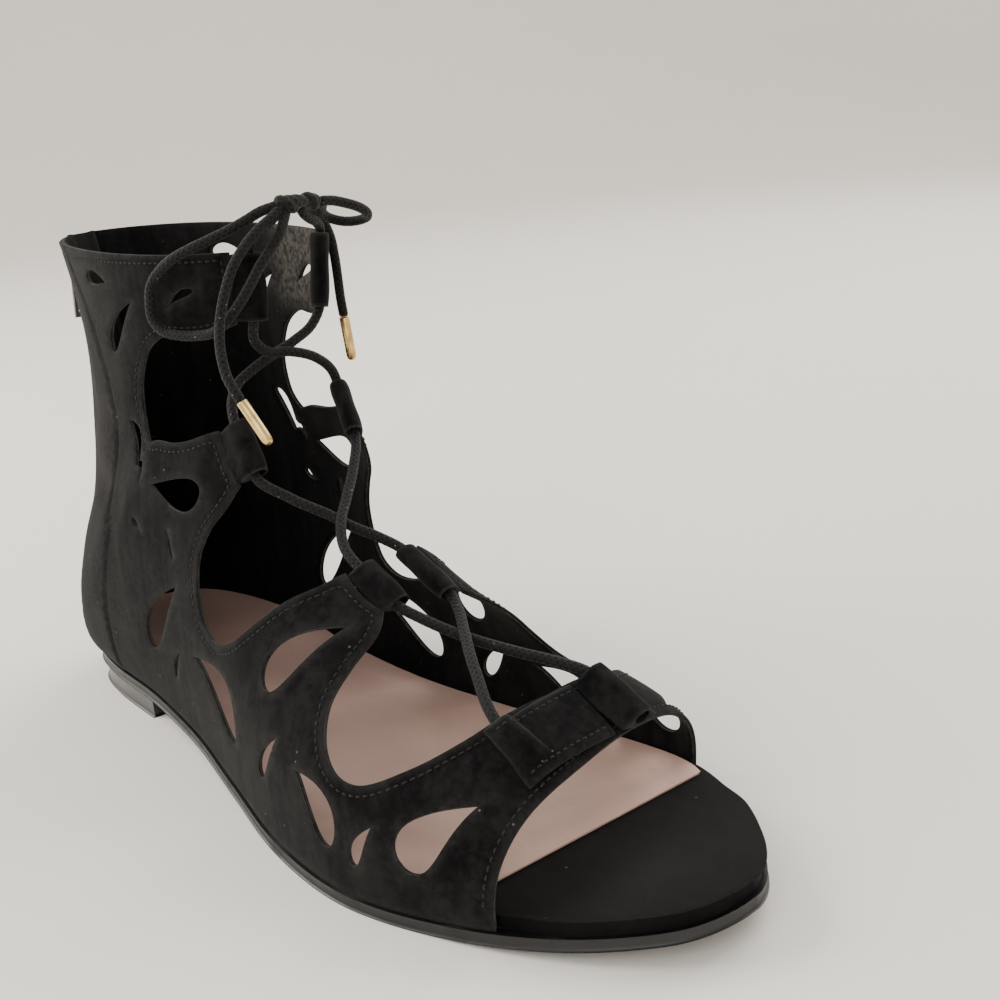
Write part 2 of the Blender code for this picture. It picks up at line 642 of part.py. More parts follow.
def run(start, finish, girth, side):
    """Stands from start to finish, evenly spaced on the last along one share of the girth."""
    fine = np.linspace(start, finish, 400)
    points = last_place(fine, girth, side)
    length = np.concatenate([[0], np.cumsum(np.linalg.norm(np.diff(points, axis=0), axis=1))])
    count = max(2, round(length[-1] / EDGE_STEP))
    return np.interp(np.linspace(0, length[-1], count + 1), length, fine)


def throat_edge(side):
    """Back edge of the lacing, from the collar's top down to the toe strap's ridge."""
    corner = {seam.name: side_view([(seam.upper_along, seam.upper_up),
                                    (seam.lower_along, seam.lower_up)])
              for seam in SEAMS[side]}
    strap_back = on_pattern(stand_of_ridge(STRAP_BACK_ALONG), 1.0)[0]
    stops = [
        (corner["collar"][1], "ankle", corner["ankle"][0]),
        (corner["ankle"][1], "instep", corner["instep"][0]),
        (corner["instep"][1], "forefoot", strap_back),
    ]
    places = []
    for seam, (start, bay, finish) in zip(SEAMS[side], stops):
        places.append(curve_through(corner[seam.name], EDGE_STEP)[:-1])
        bend = np.concatenate([[start], side_view(BAYS[bay]), [finish]])
        places.append(curve_through(bend, EDGE_STEP)[:-1])
    return np.concatenate(places)


def quarter_outline(side):
    """Closed outline of one side as stands and shares of the girth."""
    front, seat = stand_of_foot(FRONT_FOOT_ALONG[side]), STAND[LAST_ON_SOLE]
    slot = stand_of_back(SLOT_FOOT_UP)
    along_sole = run(front, seat, 0.0, side)
    up_back = run(seat, slot, 0.0, side)
    up_slot = run(slot, 1.0, 0.0, side)
    beside_slot = SLOT_HALF / girth_length(up_slot, side)
    throat = np.stack(on_last(throat_edge(side)), axis=1)
    throat[0, 0] = 1.0
    count = round(girth_length(1.0, side)[0] * (throat[0, 1] - beside_slot[-1]) / EDGE_STEP)
    collar = np.linspace(beside_slot[-1], throat[0, 1], count + 1)[1:-1]
    ridge = run(stand_of_ridge(STRAP_BACK_ALONG), stand_of_ridge(STRAP_FRONT_ALONG), 1.0, side)
    strap_front = on_pattern(ridge[-1], 1.0)[0]
    foot = on_pattern(front, 0.0)[0]
    front_edge = curve_through(
        np.concatenate([[strap_front], side_view(FRONT_EDGE[side]), [foot]]), EDGE_STEP)[1:-1]
    return np.concatenate([
        np.stack([along_sole, np.zeros(len(along_sole))], axis=1),
        np.stack([up_back[1:], np.zeros(len(up_back) - 1)], axis=1),
        np.stack([up_slot, beside_slot], axis=1),
        np.stack([np.ones(len(collar)), collar], axis=1),
        throat,
        np.stack([ridge, np.ones(len(ridge))], axis=1),
        np.stack(on_last(front_edge), axis=1),
    ])


def surface_scale(place, side):
    """How long the side view's two directions are on the last at a place."""
    small = 0.001
    around = np.array([place, place + [small, 0], place + [0, small]])
    stand, girth = on_last(around)
    points = last_place(stand, girth, side)
    return np.linalg.norm(points[1:] - points[0], axis=1) / small


def drop_outline(drop, side):
    """Teardrop: x = cos a, y = sin a * sin(a/2)^k, laid from its point to its round end."""
    point = side_view((drop.point_along, drop.point_up))
    end = side_view((drop.round_along, drop.round_up))
    middle = (point + end) / 2
    scale = surface_scale(middle, side)
    axis = (point - end) / 2 * scale
    half = np.linalg.norm(axis)
    axis /= half
    across = np.array([-axis[1], axis[0]])
    width = drop.half_width * LENGTH
    around = 2 * (2 * half + math.pi * width / 2)
    count = max(8, round(around / EDGE_STEP))
    angle = np.arange(count) * 2 * math.pi / count
    x = np.cos(angle)
    y = np.sin(angle) * np.sin(angle / 2) ** DROP_SHARPNESS
    y = y / np.abs(y).max() * width + drop.bend * half * (1 - x ** 2)
    real = half * x[:, None] * axis + y[:, None] * across
    return middle + real / scale


def inside(places, outline):
    """Whether places lie inside a closed outline, by counting the edges to their right."""
    a, b = outline, np.roll(outline, -1, axis=0)
    px, pz = places[:, 0:1], places[:, 1:2]
    spans = (a[None, :, 1] > pz) != (b[None, :, 1] > pz)
    drop = np.where(b[:, 1] == a[:, 1], 1, b[:, 1] - a[:, 1])
    cross = a[None, :, 0] + (pz - a[None, :, 1]) * (b[:, 0] - a[:, 0])[None] / drop[None]
    return ((px < cross) & spans).sum(axis=1) % 2 == 1


def edge_distance(places, loops):
    """Distance from each place to the nearest of the loops' edges."""
    best = np.full(len(places), np.inf)
    for loop in loops:
        a, b = loop, np.roll(loop, -1, axis=0)
        way = b - a
        to = places[:, None] - a[None]
        t = np.clip((to * way).sum(-1) / np.maximum((way ** 2).sum(-1), 1e-15), 0, 1)
        best = np.minimum(best, np.linalg.norm(to - t[..., None] * way, axis=-1).min(axis=1))
    return best


def side_mesh(side):
    """Vertices and triangles of one side of the upper's outer face."""
    outline = quarter_outline(side)
    loops = [on_pattern(outline[:, 0], outline[:, 1])]
    loops += [drop_outline(drop, side) for drop in DROPS]
    flat = np.array([1.0, GIRTH_STRETCH])
    loops = [loop * flat for loop in loops]
    low, high = loops[0].min(axis=0), loops[0].max(axis=0)
    rows = np.arange(low[1], high[1], CELL * math.sqrt(3) / 2)
    grid = [(x + (k % 2) * CELL / 2, z)
            for k, z in enumerate(rows) for x in np.arange(low[0], high[0], CELL)]
    grid = np.array(grid)
    keep = inside(grid, loops[0])
    for loop in loops[1:]:
        keep &= ~inside(grid, loop)
    keep &= edge_distance(grid, loops) > 0.5 * CELL
    grid = grid[keep]
    points = np.concatenate(loops + [grid])
    edges = []
    first = 0
    for loop in loops:
        count = len(loop)
        edges += [(first + k, first + (k + 1) % count) for k in range(count)]
        first += count
    found = delaunay_2d_cdt([Vector(p) for p in points], edges, [], 0, 1e-9)
    places = np.array([tuple(v) for v in found[0]])
    triangles = np.array([f for f in found[2] if len(f) == 3])
    centres = places[triangles].mean(axis=1)
    keep = inside(centres, loops[0])
    for loop in loops[1:]:
        keep &= ~inside(centres, loop)
    triangles = triangles[keep]
    stand, girth = on_last(places / flat)
    source = [ids[0] if ids else -1 for ids in found[3]]
    for new, old in enumerate(source):
        if 0 <= old < len(outline):
            stand[new], girth[new] = outline[old]
    vertices = last_place(stand, girth, side)
    corner = vertices[triangles]
    normal = np.cross(corner[:, 1] - corner[:, 0], corner[:, 2] - corner[:, 0])
    if (normal[:, 1] * side).sum() < 0:
        triangles = triangles[:, ::-1]
    return vertices, triangles


def build_upper(finish):
    vertices, faces = [], []
    for side in (LATERAL, MEDIAL):
        points, triangles = side_mesh(side)
        faces += [tuple(int(i) + len(vertices) for i in t) for t in triangles]
        vertices += list(points)
    upper = make_object("upper", vertices, faces, finish["suede"])
    shell = bmesh.new()
    shell.from_mesh(upper.data)
    bmesh.ops.remove_doubles(shell, verts=shell.verts, dist=1e-5)
    loose = [v for v in shell.verts if not v.link_faces]
    bmesh.ops.delete(shell, geom=loose, context="VERTS")
    shell.to_mesh(upper.data)
    shell.free()
    wall = upper.modifiers.new("wall", "SOLIDIFY")
    wall.thickness = WALL
    wall.offset = -1
    return upper


# Lace tunnels

def tunnel_frame(upper_place, lower_place, side):
    """Two points on the last with the way along the seam, towards the throat and outwards."""
    stand, girth = on_last(side_view([upper_place, lower_place]))
    point = last_place(stand, girth, side)
    up_girth = last_place(stand, girth + GIRTH_PROBE, side) - point
    along = point[1] - point[0]
    along /= np.linalg.norm(along)
    out = np.cross(along, up_girth.sum(axis=0)) * -side
    out /= np.linalg.norm(out)
    inward = np.cross(out, along) * -side
    return point, along, inward, out


def oval(centre, across, out, half_width, half_height, sides):
    angle = np.arange(sides) * 2 * math.pi / sides
    return (centre + np.outer(np.cos(angle) * half_width, across)
            + np.outer(np.sin(angle) * half_height, out))


def tube_faces(rings, sides, first=0, flip=False):
    faces = []
    for i in range(rings - 1):
        for j in range(sides):
            k = (j + 1) % sides
            a, b = first + i * sides + j, first + i * sides + k
            face = (a, b, b + sides, a + sides)
            faces.append(face[::-1] if flip else face)
    return faces


def face_outwards(made):
    mesh = bmesh.new()
    mesh.from_mesh(made.data)
    bmesh.ops.recalc_face_normals(mesh, faces=mesh.faces)
    mesh.to_mesh(made.data)
    mesh.free()
    return made


def build_sleeve(name, finish, start, end, across, out, width=SLEEVE_WIDTH, sides=12):
    """Open oval sleeve with a wall, from start to end."""
    centres = np.linspace(start, end, 4)
    rings = [oval(c, across, out, width / 2, SLEEVE_THICKNESS / 2, sides) for c in centres]
    bore_width = width / 2 - SLEEVE_WALL
    bore_height = SLEEVE_THICKNESS / 2 - SLEEVE_WALL
    rings += [oval(c, across, out, bore_width, bore_height, sides) for c in centres]
    inner = len(centres) * sides
    faces = tube_faces(len(centres), sides)
    faces += tube_faces(len(centres), sides, first=inner, flip=True)
    for ring in (0, len(centres) - 1):
        for j in range(sides):
            k = (j + 1) % sides
            a, b = ring * sides + j, ring * sides + k
            face = (a, a + inner, b + inner, b)
            faces.append(face if ring == 0 else face[::-1])
    return face_outwards(make_object(name, np.concatenate(rings), faces, finish["suede"]))


def build_tunnels(finish):
    """Folded lace tunnels along the front edges of the quarters, and one on the toe strap."""
    for side, word in ((LATERAL, "lateral"), (MEDIAL, "medial")):
        for seam in SEAMS[side]:
            point, along, inward, out = tunnel_frame(
                (seam.upper_along, seam.upper_up), (seam.lower_along, seam.lower_up), side)
            shift = inward * (SLEEVE_WIDTH / 2 + SLEEVE_GAP) - out * SLEEVE_SINK
            start = point[0] + shift + along * SLEEVE_END
            end = point[1] + shift - along * SLEEVE_END
            build_sleeve(f"tunnel_{seam.name}_{word}", finish, start, end, inward, out)
    point, along, inward, out = tunnel_frame(*TOE_TUNNEL, MEDIAL)
    shift = out * (SLEEVE_THICKNESS / 2 + 2 * GAP)
    build_sleeve("tunnel_toe_medial", finish, point[0] + shift, point[1] + shift, inward, out,
                 width=TOE_SLEEVE_WIDTH)


def build_toe_bridge(finish, rows=4, columns=22):
    """Strip over the toe strap, humped at its back edge over the lace that ends there."""
    lateral = np.stack(on_last(side_view(TOE_SEAM)), axis=1)
    ridge = np.array([stand_of_ridge(BRIDGE_BACK_ALONG), stand_of_ridge(BRIDGE_FRONT_ALONG)])
    share = np.linspace(0, 1, rows + 1)
    fade = 1 - step_between(share, *HUMP_FADE)
    inner, outer = [], []
    for side, count in ((LATERAL, columns // 2), (MEDIAL, columns // 2)):
        for step in range(count + (side == MEDIAL)):
            t = step / count
            if side == LATERAL:
                ends = lateral * (1 - t) + np.stack([ridge, [1, 1]], axis=1) * t
            else:
                girth = 1 - t * (1 - BRIDGE_MEDIAL_GIRTH)
                ends = np.stack([ridge, [girth, girth]], axis=1)
            stand = ends[0, 0] + share * (ends[1, 0] - ends[0, 0])
            girth = ends[0, 1] + share * (ends[1, 1] - ends[0, 1])
            point = last_place(stand, girth, side)
            ahead = last_place(stand + 0.002, girth, side)
            below = last_place(stand, girth - 0.01, side)
            out = np.cross(ahead - point, below - point) * -side
            out /= np.linalg.norm(out, axis=1, keepdims=True)
            off = t * (1 - lateral[:, 1].mean()) * girth_length(stand, LATERAL)
            away = (off - BRIDGE_HUMP_HALF) / BRIDGE_HUMP_HALF if side == LATERAL else 1 + 0 * off
            hump = (LACE + 2 * LACE_CLEARANCE) * np.clip(1 - away ** 4, 0, 1) * fade
            inner.append(point + out * (2 * GAP + hump)[:, None])
            outer.append(point + out * (2 * GAP + hump + BRIDGE)[:, None])
    points = np.array(outer + inner)
    lines, wide = len(outer), rows + 1
    size = lines * wide
    faces = []
    for i in range(lines - 1):
        for j in range(rows):
            a, b = i * wide + j, i * wide + j + 1
            faces.append((a, b, b + wide, a + wide))
            faces.append((a + size, a + wide + size, b + wide + size, b + size))
        for a in (i * wide, i * wide + rows):
            face = (a, a + wide, a + wide + size, a + size)
            faces.append(face if a == i * wide else face[::-1])
    for j in range(rows):
        for a in (j, (lines - 1) * wide + j):
            face = (a, a + size, a + 1 + size, a + 1)
            faces.append(face if a == j else face[::-1])
    made = make_object("toe_bridge", points.reshape(-1, 3), faces, finish["suede"])
    return face_outwards(made)


# Lace

def loft(name, finish, path, radii, sides):
    """Closed round body along a path, with its own radius at each point."""
    path = np.asarray(path, float)
    way = np.gradient(path, axis=0)
    way /= np.linalg.norm(way, axis=1, keepdims=True)
    across = np.cross(way[0], [0.3, 0.9, 0.2])
    angle = np.arange(sides) * 2 * math.pi / sides
    rings = []
    for point, direction, radius in zip(path, way, radii):
        across = across - direction * (across @ direction)
        across /= np.linalg.norm(across)
        other = np.cross(direction, across)
        rings.append(point + radius * (np.outer(np.cos(angle), across)
                                       + np.outer(np.sin(angle), other)))
    faces = tube_faces(len(path), sides)
    last = (len(path) - 1) * sides
    faces.append(tuple(range(sides))[::-1])
    faces.append(tuple(last + j for j in range(sides)))
    return face_outwards(make_object(name, np.concatenate(rings), faces, finish))


def lace_places(route):
    """A lace's route, scaled with the shoe."""
    return np.array(route, float) * np.divide((LENGTH, BALL_WIDTH, COLLAR_HEIGHT), ROUTES_DRAWN_AT)


def hidden_tool(made):
    made.hide_render = True
    made.display_type = "WIRE"
    return made


def join(made, tool, operation="UNION"):
    change = made.modifiers.new(tool.name, "BOOLEAN")
    change.operation = operation
    change.object = hidden_tool(tool)


def build_crossings(finish):
    """Each crossing is two lengths of lace, joined where one lies on the other."""
    for name, (over, under) in CROSSINGS.items():
        bodies = []
        for word, route in (("", over), ("_under", under)):
            path = curve_through(lace_places(route), 1.6 * LACE)
            radii = np.full(len(path), LACE / 2)
            bodies.append(loft(f"lace_crossing_{name}{word}", finish["cord"], path, radii, 8))
        join(*bodies)


def build_cords(finish):
    for name, route in CORDS.items():
        data = bpy.data.curves.new(name, "CURVE")
        data.dimensions = "3D"
        data.bevel_depth = LACE / 2
        data.bevel_resolution = 2
        data.use_fill_caps = True
        path = to_origin(curve_through(lace_places(route), 2 * LACE))
        spline = data.splines.new("POLY")
        spline.points.add(len(path) - 1)
        for point, place in zip(spline.points, path):
            point.co = (*place, 1)
        cord = bpy.data.objects.new(name, data)
        cord.data.materials.append(finish["cord"])
        bpy.context.scene.collection.objects.link(cord)
    path = lace_places([point for point, radius in KNOT])
    loft("lace_knot", finish["cord"], path, [radius for point, radius in KNOT], 12)


def build_aglets(finish):
    """Metal tips that go on along the ends of the lace, rounded at their far ends."""
    shape = [(0.00, 0.96), (0.03, 1.0), (0.85, 1.0), (0.93, 0.86), (0.98, 0.58), (1.0, 0.25)]
    for name, cord in AGLETS.items():
        before, last = lace_places(CORDS[cord][-2:])
        way = (last - before) / np.linalg.norm(last - before)
        start = last + way * GAP
        path = [start + way * AGLET_LENGTH * share for share, radius in shape]
        radii = [AGLET_DIAMETER / 2 * radius for share, radius in shape]
        loft(name, finish["gold"], path, radii, 12)


# Back zip

def back_frame(stand):
    """Points of the back line with the ways up along it and out behind it."""
    stand = np.atleast_1d(stand)
    base = section_values(stand)[0][:, 0:2]
    ahead = section_values(np.minimum(stand + 1e-3, 1.0))[0][:, 0:2]
    behind = section_values(stand - 1e-3)[0][:, 0:2]
    up = ahead - behind
    up /= np.linalg.norm(up, axis=1, keepdims=True)
    spread = np.zeros(len(stand))
    point = np.stack([base[:, 0], spread, base[:, 1]], axis=1)
    up = np.stack([up[:, 0], spread, up[:, 1]], axis=1)
    out = np.cross(up, [0.0, 1.0, 0.0])
    return point, up, out * np.sign(-out[:, 0:1])


def build_strip(name, finish, half, outer, inner, low_up, high_up, count=10):
    """Flat strip up the back between two depths behind the upper's outer face."""
    stand = np.linspace(stand_of_back(low_up), stand_of_back(high_up), count)
    point, up, out = back_frame(stand)
    corners = [(half, outer), (-half, outer), (-half, inner), (half, inner)]
    rings = np.stack([point + out * depth + [0, y, 0] for y, depth in corners], axis=1)
    faces = tube_faces(count, 4)
    last = (count - 1) * 4
    faces.append((3, 2, 1, 0))
    faces.append((last, last + 1, last + 2, last + 3))
    return face_outwards(make_object(name, rings.reshape(-1, 3), faces, finish))


def block(name, finish, centre, axes, size):
    """Box with its sides along three given ways."""
    corners = [(x, y, z) for x in (-0.5, 0.5) for y in (-0.5, 0.5) for z in (-0.5, 0.5)]
    points = [centre + (np.array(c) * size) @ np.array(axes) for c in corners]
    faces = [(0, 1, 3, 2), (4, 6, 7, 5), (0, 4, 5, 1), (2, 3, 7, 6), (0, 2, 6, 4), (1, 5, 7, 3)]
    return face_outwards(make_object(name, points, faces, finish))


def rod(name, finish, centre, length, radius, sides=16):
    path = [centre - np.array([0, length / 2, 0]), centre + np.array([0, length / 2, 0])]
    return loft(name, finish, path, [radius, radius], sides)


def set_origin(made, place):
    """Moves an object's own origin to a place without moving its shape."""
    place = Vector(to_origin(place))
    for vertex in made.data.vertices:
        vertex.co -= place
    made.location = place


def build_zip(finish):
    """Zip up the back: tape, chain, slider with a pin between two lugs, and the pull tab."""
    foot, head = SLOT_FOOT_UP + TAPE_REST_UP, 1 - TAPE_REST_UP
    tape_out = -TAPE_SINK
    chain_out = tape_out + GAP + CHAIN
    build_strip("zip_tape", finish["tape"], TAPE_HALF, tape_out, tape_out - TAPE, foot, head)
    build_strip("zip_chain", finish["zip_metal"], CHAIN_HALF, chain_out, tape_out + GAP,
                foot + CHAIN_REST_UP, head - CHAIN_REST_UP)
    (point,), (up,), (out,) = back_frame(stand_of_back(SLIDER_UP))
    sideways = np.array([0.0, 1.0, 0.0])
    axes = (out, sideways, up)
    middle = point + out * (chain_out + GAP + SLIDER_THICKNESS / 2)
    slider = block("zip_slider", finish["zip_metal"], middle, axes,
                   [SLIDER_THICKNESS, SLIDER_WIDTH, SLIDER_LENGTH])
    face = middle + out * SLIDER_THICKNESS / 2
    pin = face + out * (LUG_REACH - EYE_WALL)
    overlap = SLIDER_THICKNESS / 2
    for number, way in enumerate((-1, 1)):
        beside = sideways * way * (LUG_GAP + LUG_WIDTH) / 2
        centre = face + beside + out * (LUG_REACH - overlap) / 2
        join(slider, block(f"lug_{number}", finish["zip_metal"], centre, axes,
                           [LUG_REACH + overlap, LUG_WIDTH, SLIDER_LENGTH * 0.4]))
    join(slider, rod("pin", finish["zip_metal"], pin, LUG_GAP + LUG_WIDTH, PIN_RADIUS))

    eye = PIN_RADIUS + PIN_CLEARANCE
    eye_width = LUG_GAP - 2 * GAP
    tilt = math.radians(PULL_TILT)
    down = np.array([-math.sin(tilt), 0.0, -math.cos(tilt)])
    ahead = np.array([math.cos(tilt), 0.0, -math.sin(tilt)])
    upright = (ahead, sideways, down)
    neck = eye + EYE_WALL / 2
    plate_length = PULL_LENGTH - neck - NECK_LENGTH
    plate_top = pin + down * (neck + NECK_LENGTH)
    pull = block("zip_pull", finish["pull_metal"], plate_top + down * plate_length / 2, upright,
                 [PULL_THICKNESS, PULL_WIDTH, plate_length])
    join(pull, block("neck", finish["pull_metal"], pin + down * (neck + NECK_LENGTH), upright,
                     [PULL_THICKNESS, eye_width, 2 * NECK_LENGTH]))
    join(pull, rod("eye", finish["pull_metal"], pin, eye_width, eye + EYE_WALL))
    join(pull, rod("eye_bore", finish["pull_metal"], pin, 2 * LUG_GAP, eye), "DIFFERENCE")
    window = pin + down * (PULL_LENGTH - WINDOW_EDGE - WINDOW_LENGTH / 2)
    join(pull, block("window", finish["pull_metal"], window, upright,
                     [3 * PULL_THICKNESS, WINDOW_WIDTH, WINDOW_LENGTH]), "DIFFERENCE")
    set_origin(pull, pin)
    for change in pull.modifiers:
        set_origin(change.object, pin)


# Scene

def make_finish(name, colour, roughness, metallic=0.0):
    material = bpy.data.materials.new(name)
    material.use_nodes = True
    shader = material.node_tree.nodes["Principled BSDF"]
    shader.inputs["Base Color"].default_value = (*colour, 1)
    shader.inputs["Roughness"].default_value = roughness
    shader.inputs["Metallic"].default_value = metallic
    return material


def main():
    for thing in list(bpy.data.objects):
        bpy.data.objects.remove(thing)
    finish = {
        "suede": make_finish("suede", (0.012, 0.012, 0.013), 0.95),
        "rubber": make_finish("rubber", (0.015, 0.015, 0.017), 0.45),
        "heel_rubber": make_finish("heel_rubber", (0.03, 0.03, 0.033), 0.3),
        "liner": make_finish("liner", (0.62, 0.42, 0.36), 0.6),
        "cord": make_finish("cord", (0.01, 0.01, 0.011), 0.85),
        "gold": make_finish("gold", (0.72, 0.52, 0.22), 0.25, 1.0),
        "tape": make_finish("tape", (0.015, 0.015, 0.016), 0.9),
        "zip_metal": make_finish("zip_metal", (0.10, 0.10, 0.11), 0.4, 1.0),
        "pull_metal": make_finish("pull_metal", (0.14, 0.13, 0.13), 0.35, 1.0),
    }
    build_sole(finish)
    build_upper(finish)
    build_tunnels(finish)
    build_toe_bridge(finish)
    build_crossings(finish)
    build_cords(finish)
    build_aglets(finish)
    build_zip(finish)


main()
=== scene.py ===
"""Dressed model of a right gladiator sandal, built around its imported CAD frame.

Metres. +X runs from heel to toe, +Y to the inner (medial) side of the foot, +Z up. The
last's own tables count from the heel's back edge, and make_piece moves their points to the
origin, which lies on the floor under the middle of the heel.
"""

import logging
import math
from collections import namedtuple
from collections.abc import Callable, Sequence
from dataclasses import dataclass
from enum import Enum

import bmesh
import bpy
import numpy as np
from mathutils import Matrix, Vector
from mathutils.geometry import delaunay_2d_cdt


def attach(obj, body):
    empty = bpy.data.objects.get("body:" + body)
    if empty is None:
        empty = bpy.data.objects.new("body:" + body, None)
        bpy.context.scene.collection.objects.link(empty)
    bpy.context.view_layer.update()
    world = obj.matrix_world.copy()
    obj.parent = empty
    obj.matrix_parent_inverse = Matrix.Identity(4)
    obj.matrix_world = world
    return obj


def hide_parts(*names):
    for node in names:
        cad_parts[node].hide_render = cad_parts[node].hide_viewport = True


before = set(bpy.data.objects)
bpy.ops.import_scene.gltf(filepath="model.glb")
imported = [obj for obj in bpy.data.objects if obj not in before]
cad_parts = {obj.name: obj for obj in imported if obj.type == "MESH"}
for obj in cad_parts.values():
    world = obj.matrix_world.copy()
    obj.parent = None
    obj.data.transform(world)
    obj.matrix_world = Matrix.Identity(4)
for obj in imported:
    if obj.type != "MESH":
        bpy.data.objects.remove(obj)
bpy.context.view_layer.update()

LOG = logging.getLogger("sandal")
Colour = tuple[float, float, float]
Array = np.ndarray

HEEL_CENTRE = 0.026
GAP = 0.0003
LACE = 0.0028


class Side(Enum):
    """The two sides of a right shoe."""

    LATERAL = -1
    MEDIAL = 1

    @property
    def word(self) -> str:
        """The side's name as the nodes have it."""
        return self.name.lower()


# Tables

# Outline of the outsole: shares of LENGTH and of BALL_WIDTH
Outline = namedtuple("Outline", "along lateral medial")
OUTLINE = [
    Outline(0.000, 0.000, 0.000),
    Outline(0.038, -0.240, 0.225),
    Outline(0.115, -0.305, 0.305),
    Outline(0.210, -0.330, 0.328),
    Outline(0.344, -0.380, 0.310),
    Outline(0.458, -0.460, 0.330),
    Outline(0.573, -0.540, 0.398),
    Outline(0.687, -0.566, 0.468),
    Outline(0.800, -0.486, 0.490),
    Outline(0.897, -0.362, 0.376),
    Outline(0.954, -0.245, 0.245),
    Outline(0.985, -0.145, 0.145),
    Outline(1.000, 0.035, 0.035),
]

# Underside of the outsole: shares of HEEL_RAISE and of TOE_SPRING
Under = namedtuple("Under", "along heel toe")
UNDER = [
    Under(0.000, 1.00, 0.00),
    Under(0.210, 1.00, 0.00),
    Under(0.305, 0.72, 0.00),
    Under(0.420, 0.38, 0.00),
    Under(0.530, 0.10, 0.00),
    Under(0.610, 0.00, 0.00),
    Under(0.660, 0.00, 0.00),
    Under(0.745, 0.00, 0.00),
    Under(0.820, 0.00, 0.12),
    Under(0.900, 0.00, 0.42),
    Under(1.000, 0.00, 1.00),
]

# Sections of the last, fanned from the toe rim to the collar. Each leaves its base on the
# sole (base_up None) or on the back line and ends on the ridge. Along: shares of LENGTH,
# up: of COLLAR_HEIGHT, sides: of BALL_WIDTH. widest is the share of the way up where the
# section is widest, the powers give the fullness above it, and closed is 1 where the
# section shuts at its base.
Section = namedtuple(
    "Section",
    "name base_along base_up ridge_along ridge_up lateral medial widest ridge_side"
    " lateral_power medial_power closed",
)
SECTIONS = [
    Section("toe rim", 0.900, None, 0.880, 0.190, -0.372, 0.385, 0.22, 0.020, 2.3, 2.20, 0.00),
    Section("toe strap", 0.810, None, 0.800, 0.275, -0.485, 0.490, 0.22, 0.010, 2.3, 2.10, 0.00),
    Section("ball", 0.690, None, 0.700, 0.355, -0.560, 0.465, 0.22, 0.000, 2.3, 1.90, 0.00),
    Section("waist", 0.580, None, 0.600, 0.440, -0.540, 0.395, 0.22, 0.000, 2.2, 1.75, 0.00),
    Section("instep", 0.470, None, 0.520, 0.550, -0.475, 0.350, 0.24, 0.010, 2.1, 1.80, 0.00),
    Section("arch", 0.370, None, 0.462, 0.670, -0.410, 0.345, 0.26, 0.030, 2.0, 2.10, 0.05),
    Section("shank", 0.270, None, 0.430, 0.765, -0.370, 0.365, 0.30, 0.060, 2.0, 2.30, 0.15),
    Section("heel side", 0.170, None, 0.418, 0.825, -0.365, 0.385, 0.28, 0.085, 2.1, 2.40, 0.45),
    Section("heel turn", 0.080, None, 0.413, 0.862, -0.366, 0.390, 0.27, 0.100, 2.1, 2.40, 0.75),
    Section("heel seat", 0.022, None, 0.411, 0.880, -0.360, 0.390, 0.27, 0.110, 2.1, 2.40, 0.95),
    Section("heel back", 0.000, None, 0.410, 0.893, -0.350, 0.388, 0.27, 0.115, 2.1, 2.40, 1.00),
    Section("counter", -0.014, 0.190, 0.410, 0.912, -0.300, 0.385, 0.31, 0.125, 2.1, 2.40, 1.00),
    Section("calf", 0.006, 0.340, 0.410, 0.930, -0.255, 0.385, 0.38, 0.130, 2.0, 2.40, 1.00),
    Section("tendon", 0.026, 0.540, 0.410, 0.950, -0.228, 0.388, 0.44, 0.140, 2.0, 2.40, 1.00),
    Section("ankle", 0.038, 0.700, 0.410, 0.967, -0.220, 0.392, 0.47, 0.140, 2.0, 2.40, 1.00),
    Section("cuff", 0.032, 0.860, 0.410, 0.985, -0.215, 0.396, 0.49, 0.145, 2.0, 2.40, 1.00),
    Section("collar", 0.010, 1.000, 0.412, 1.000, -0.215, 0.400, 0.50, 0.150, 2.0, 2.40, 1.00),
]
LAST_ON_SOLE = 10

# Pattern of one side, drawn on the side view in which height is the share of the girth
# from sole to ridge. Shares of LENGTH and of COLLAR_HEIGHT.
Seam = namedtuple("Seam", "name upper_along upper_up lower_along lower_up")
SEAMS = {
    Side.LATERAL: [
        Seam("collar", 0.346, 1.000, 0.357, 0.836),
        Seam("ankle", 0.374, 0.619, 0.420, 0.528),
        Seam("instep", 0.565, 0.400, 0.618, 0.353),
    ],
    Side.MEDIAL: [
        Seam("collar", 0.346, 1.000, 0.357, 0.836),
        Seam("ankle", 0.382, 0.643, 0.428, 0.558),
        Seam("instep", 0.562, 0.420, 0.624, 0.351),
    ],
}
BAYS = {
    "ankle": [(0.336, 0.822), (0.305, 0.820), (0.275, 0.825), (0.254, 0.804), (0.239, 0.755),
              (0.235, 0.706), (0.242, 0.657), (0.263, 0.619), (0.294, 0.598), (0.328, 0.598),
              (0.359, 0.612)],
    "instep": [(0.408, 0.486), (0.389, 0.448), (0.376, 0.399), (0.378, 0.343), (0.393, 0.294),
               (0.420, 0.269), (0.458, 0.269), (0.496, 0.297), (0.534, 0.343), (0.557, 0.374)],
    "forefoot": [(0.632, 0.315), (0.636, 0.266), (0.639, 0.217), (0.653, 0.175), (0.677, 0.147),
                 (0.706, 0.140), (0.737, 0.154), (0.760, 0.178), (0.773, 0.210), (0.776, 0.245)],
}
STRAP_BACK_ALONG = 0.779
STRAP_FRONT_ALONG = 0.842
TOE_SEAM = ((0.784, 0.206), (0.841, 0.160))
TOE_TUNNEL = ((0.783, 0.240), (0.842, 0.190))
BRIDGE_BACK_ALONG = 0.782
BRIDGE_FRONT_ALONG = 0.839
BRIDGE_MEDIAL_GIRTH = 0.915
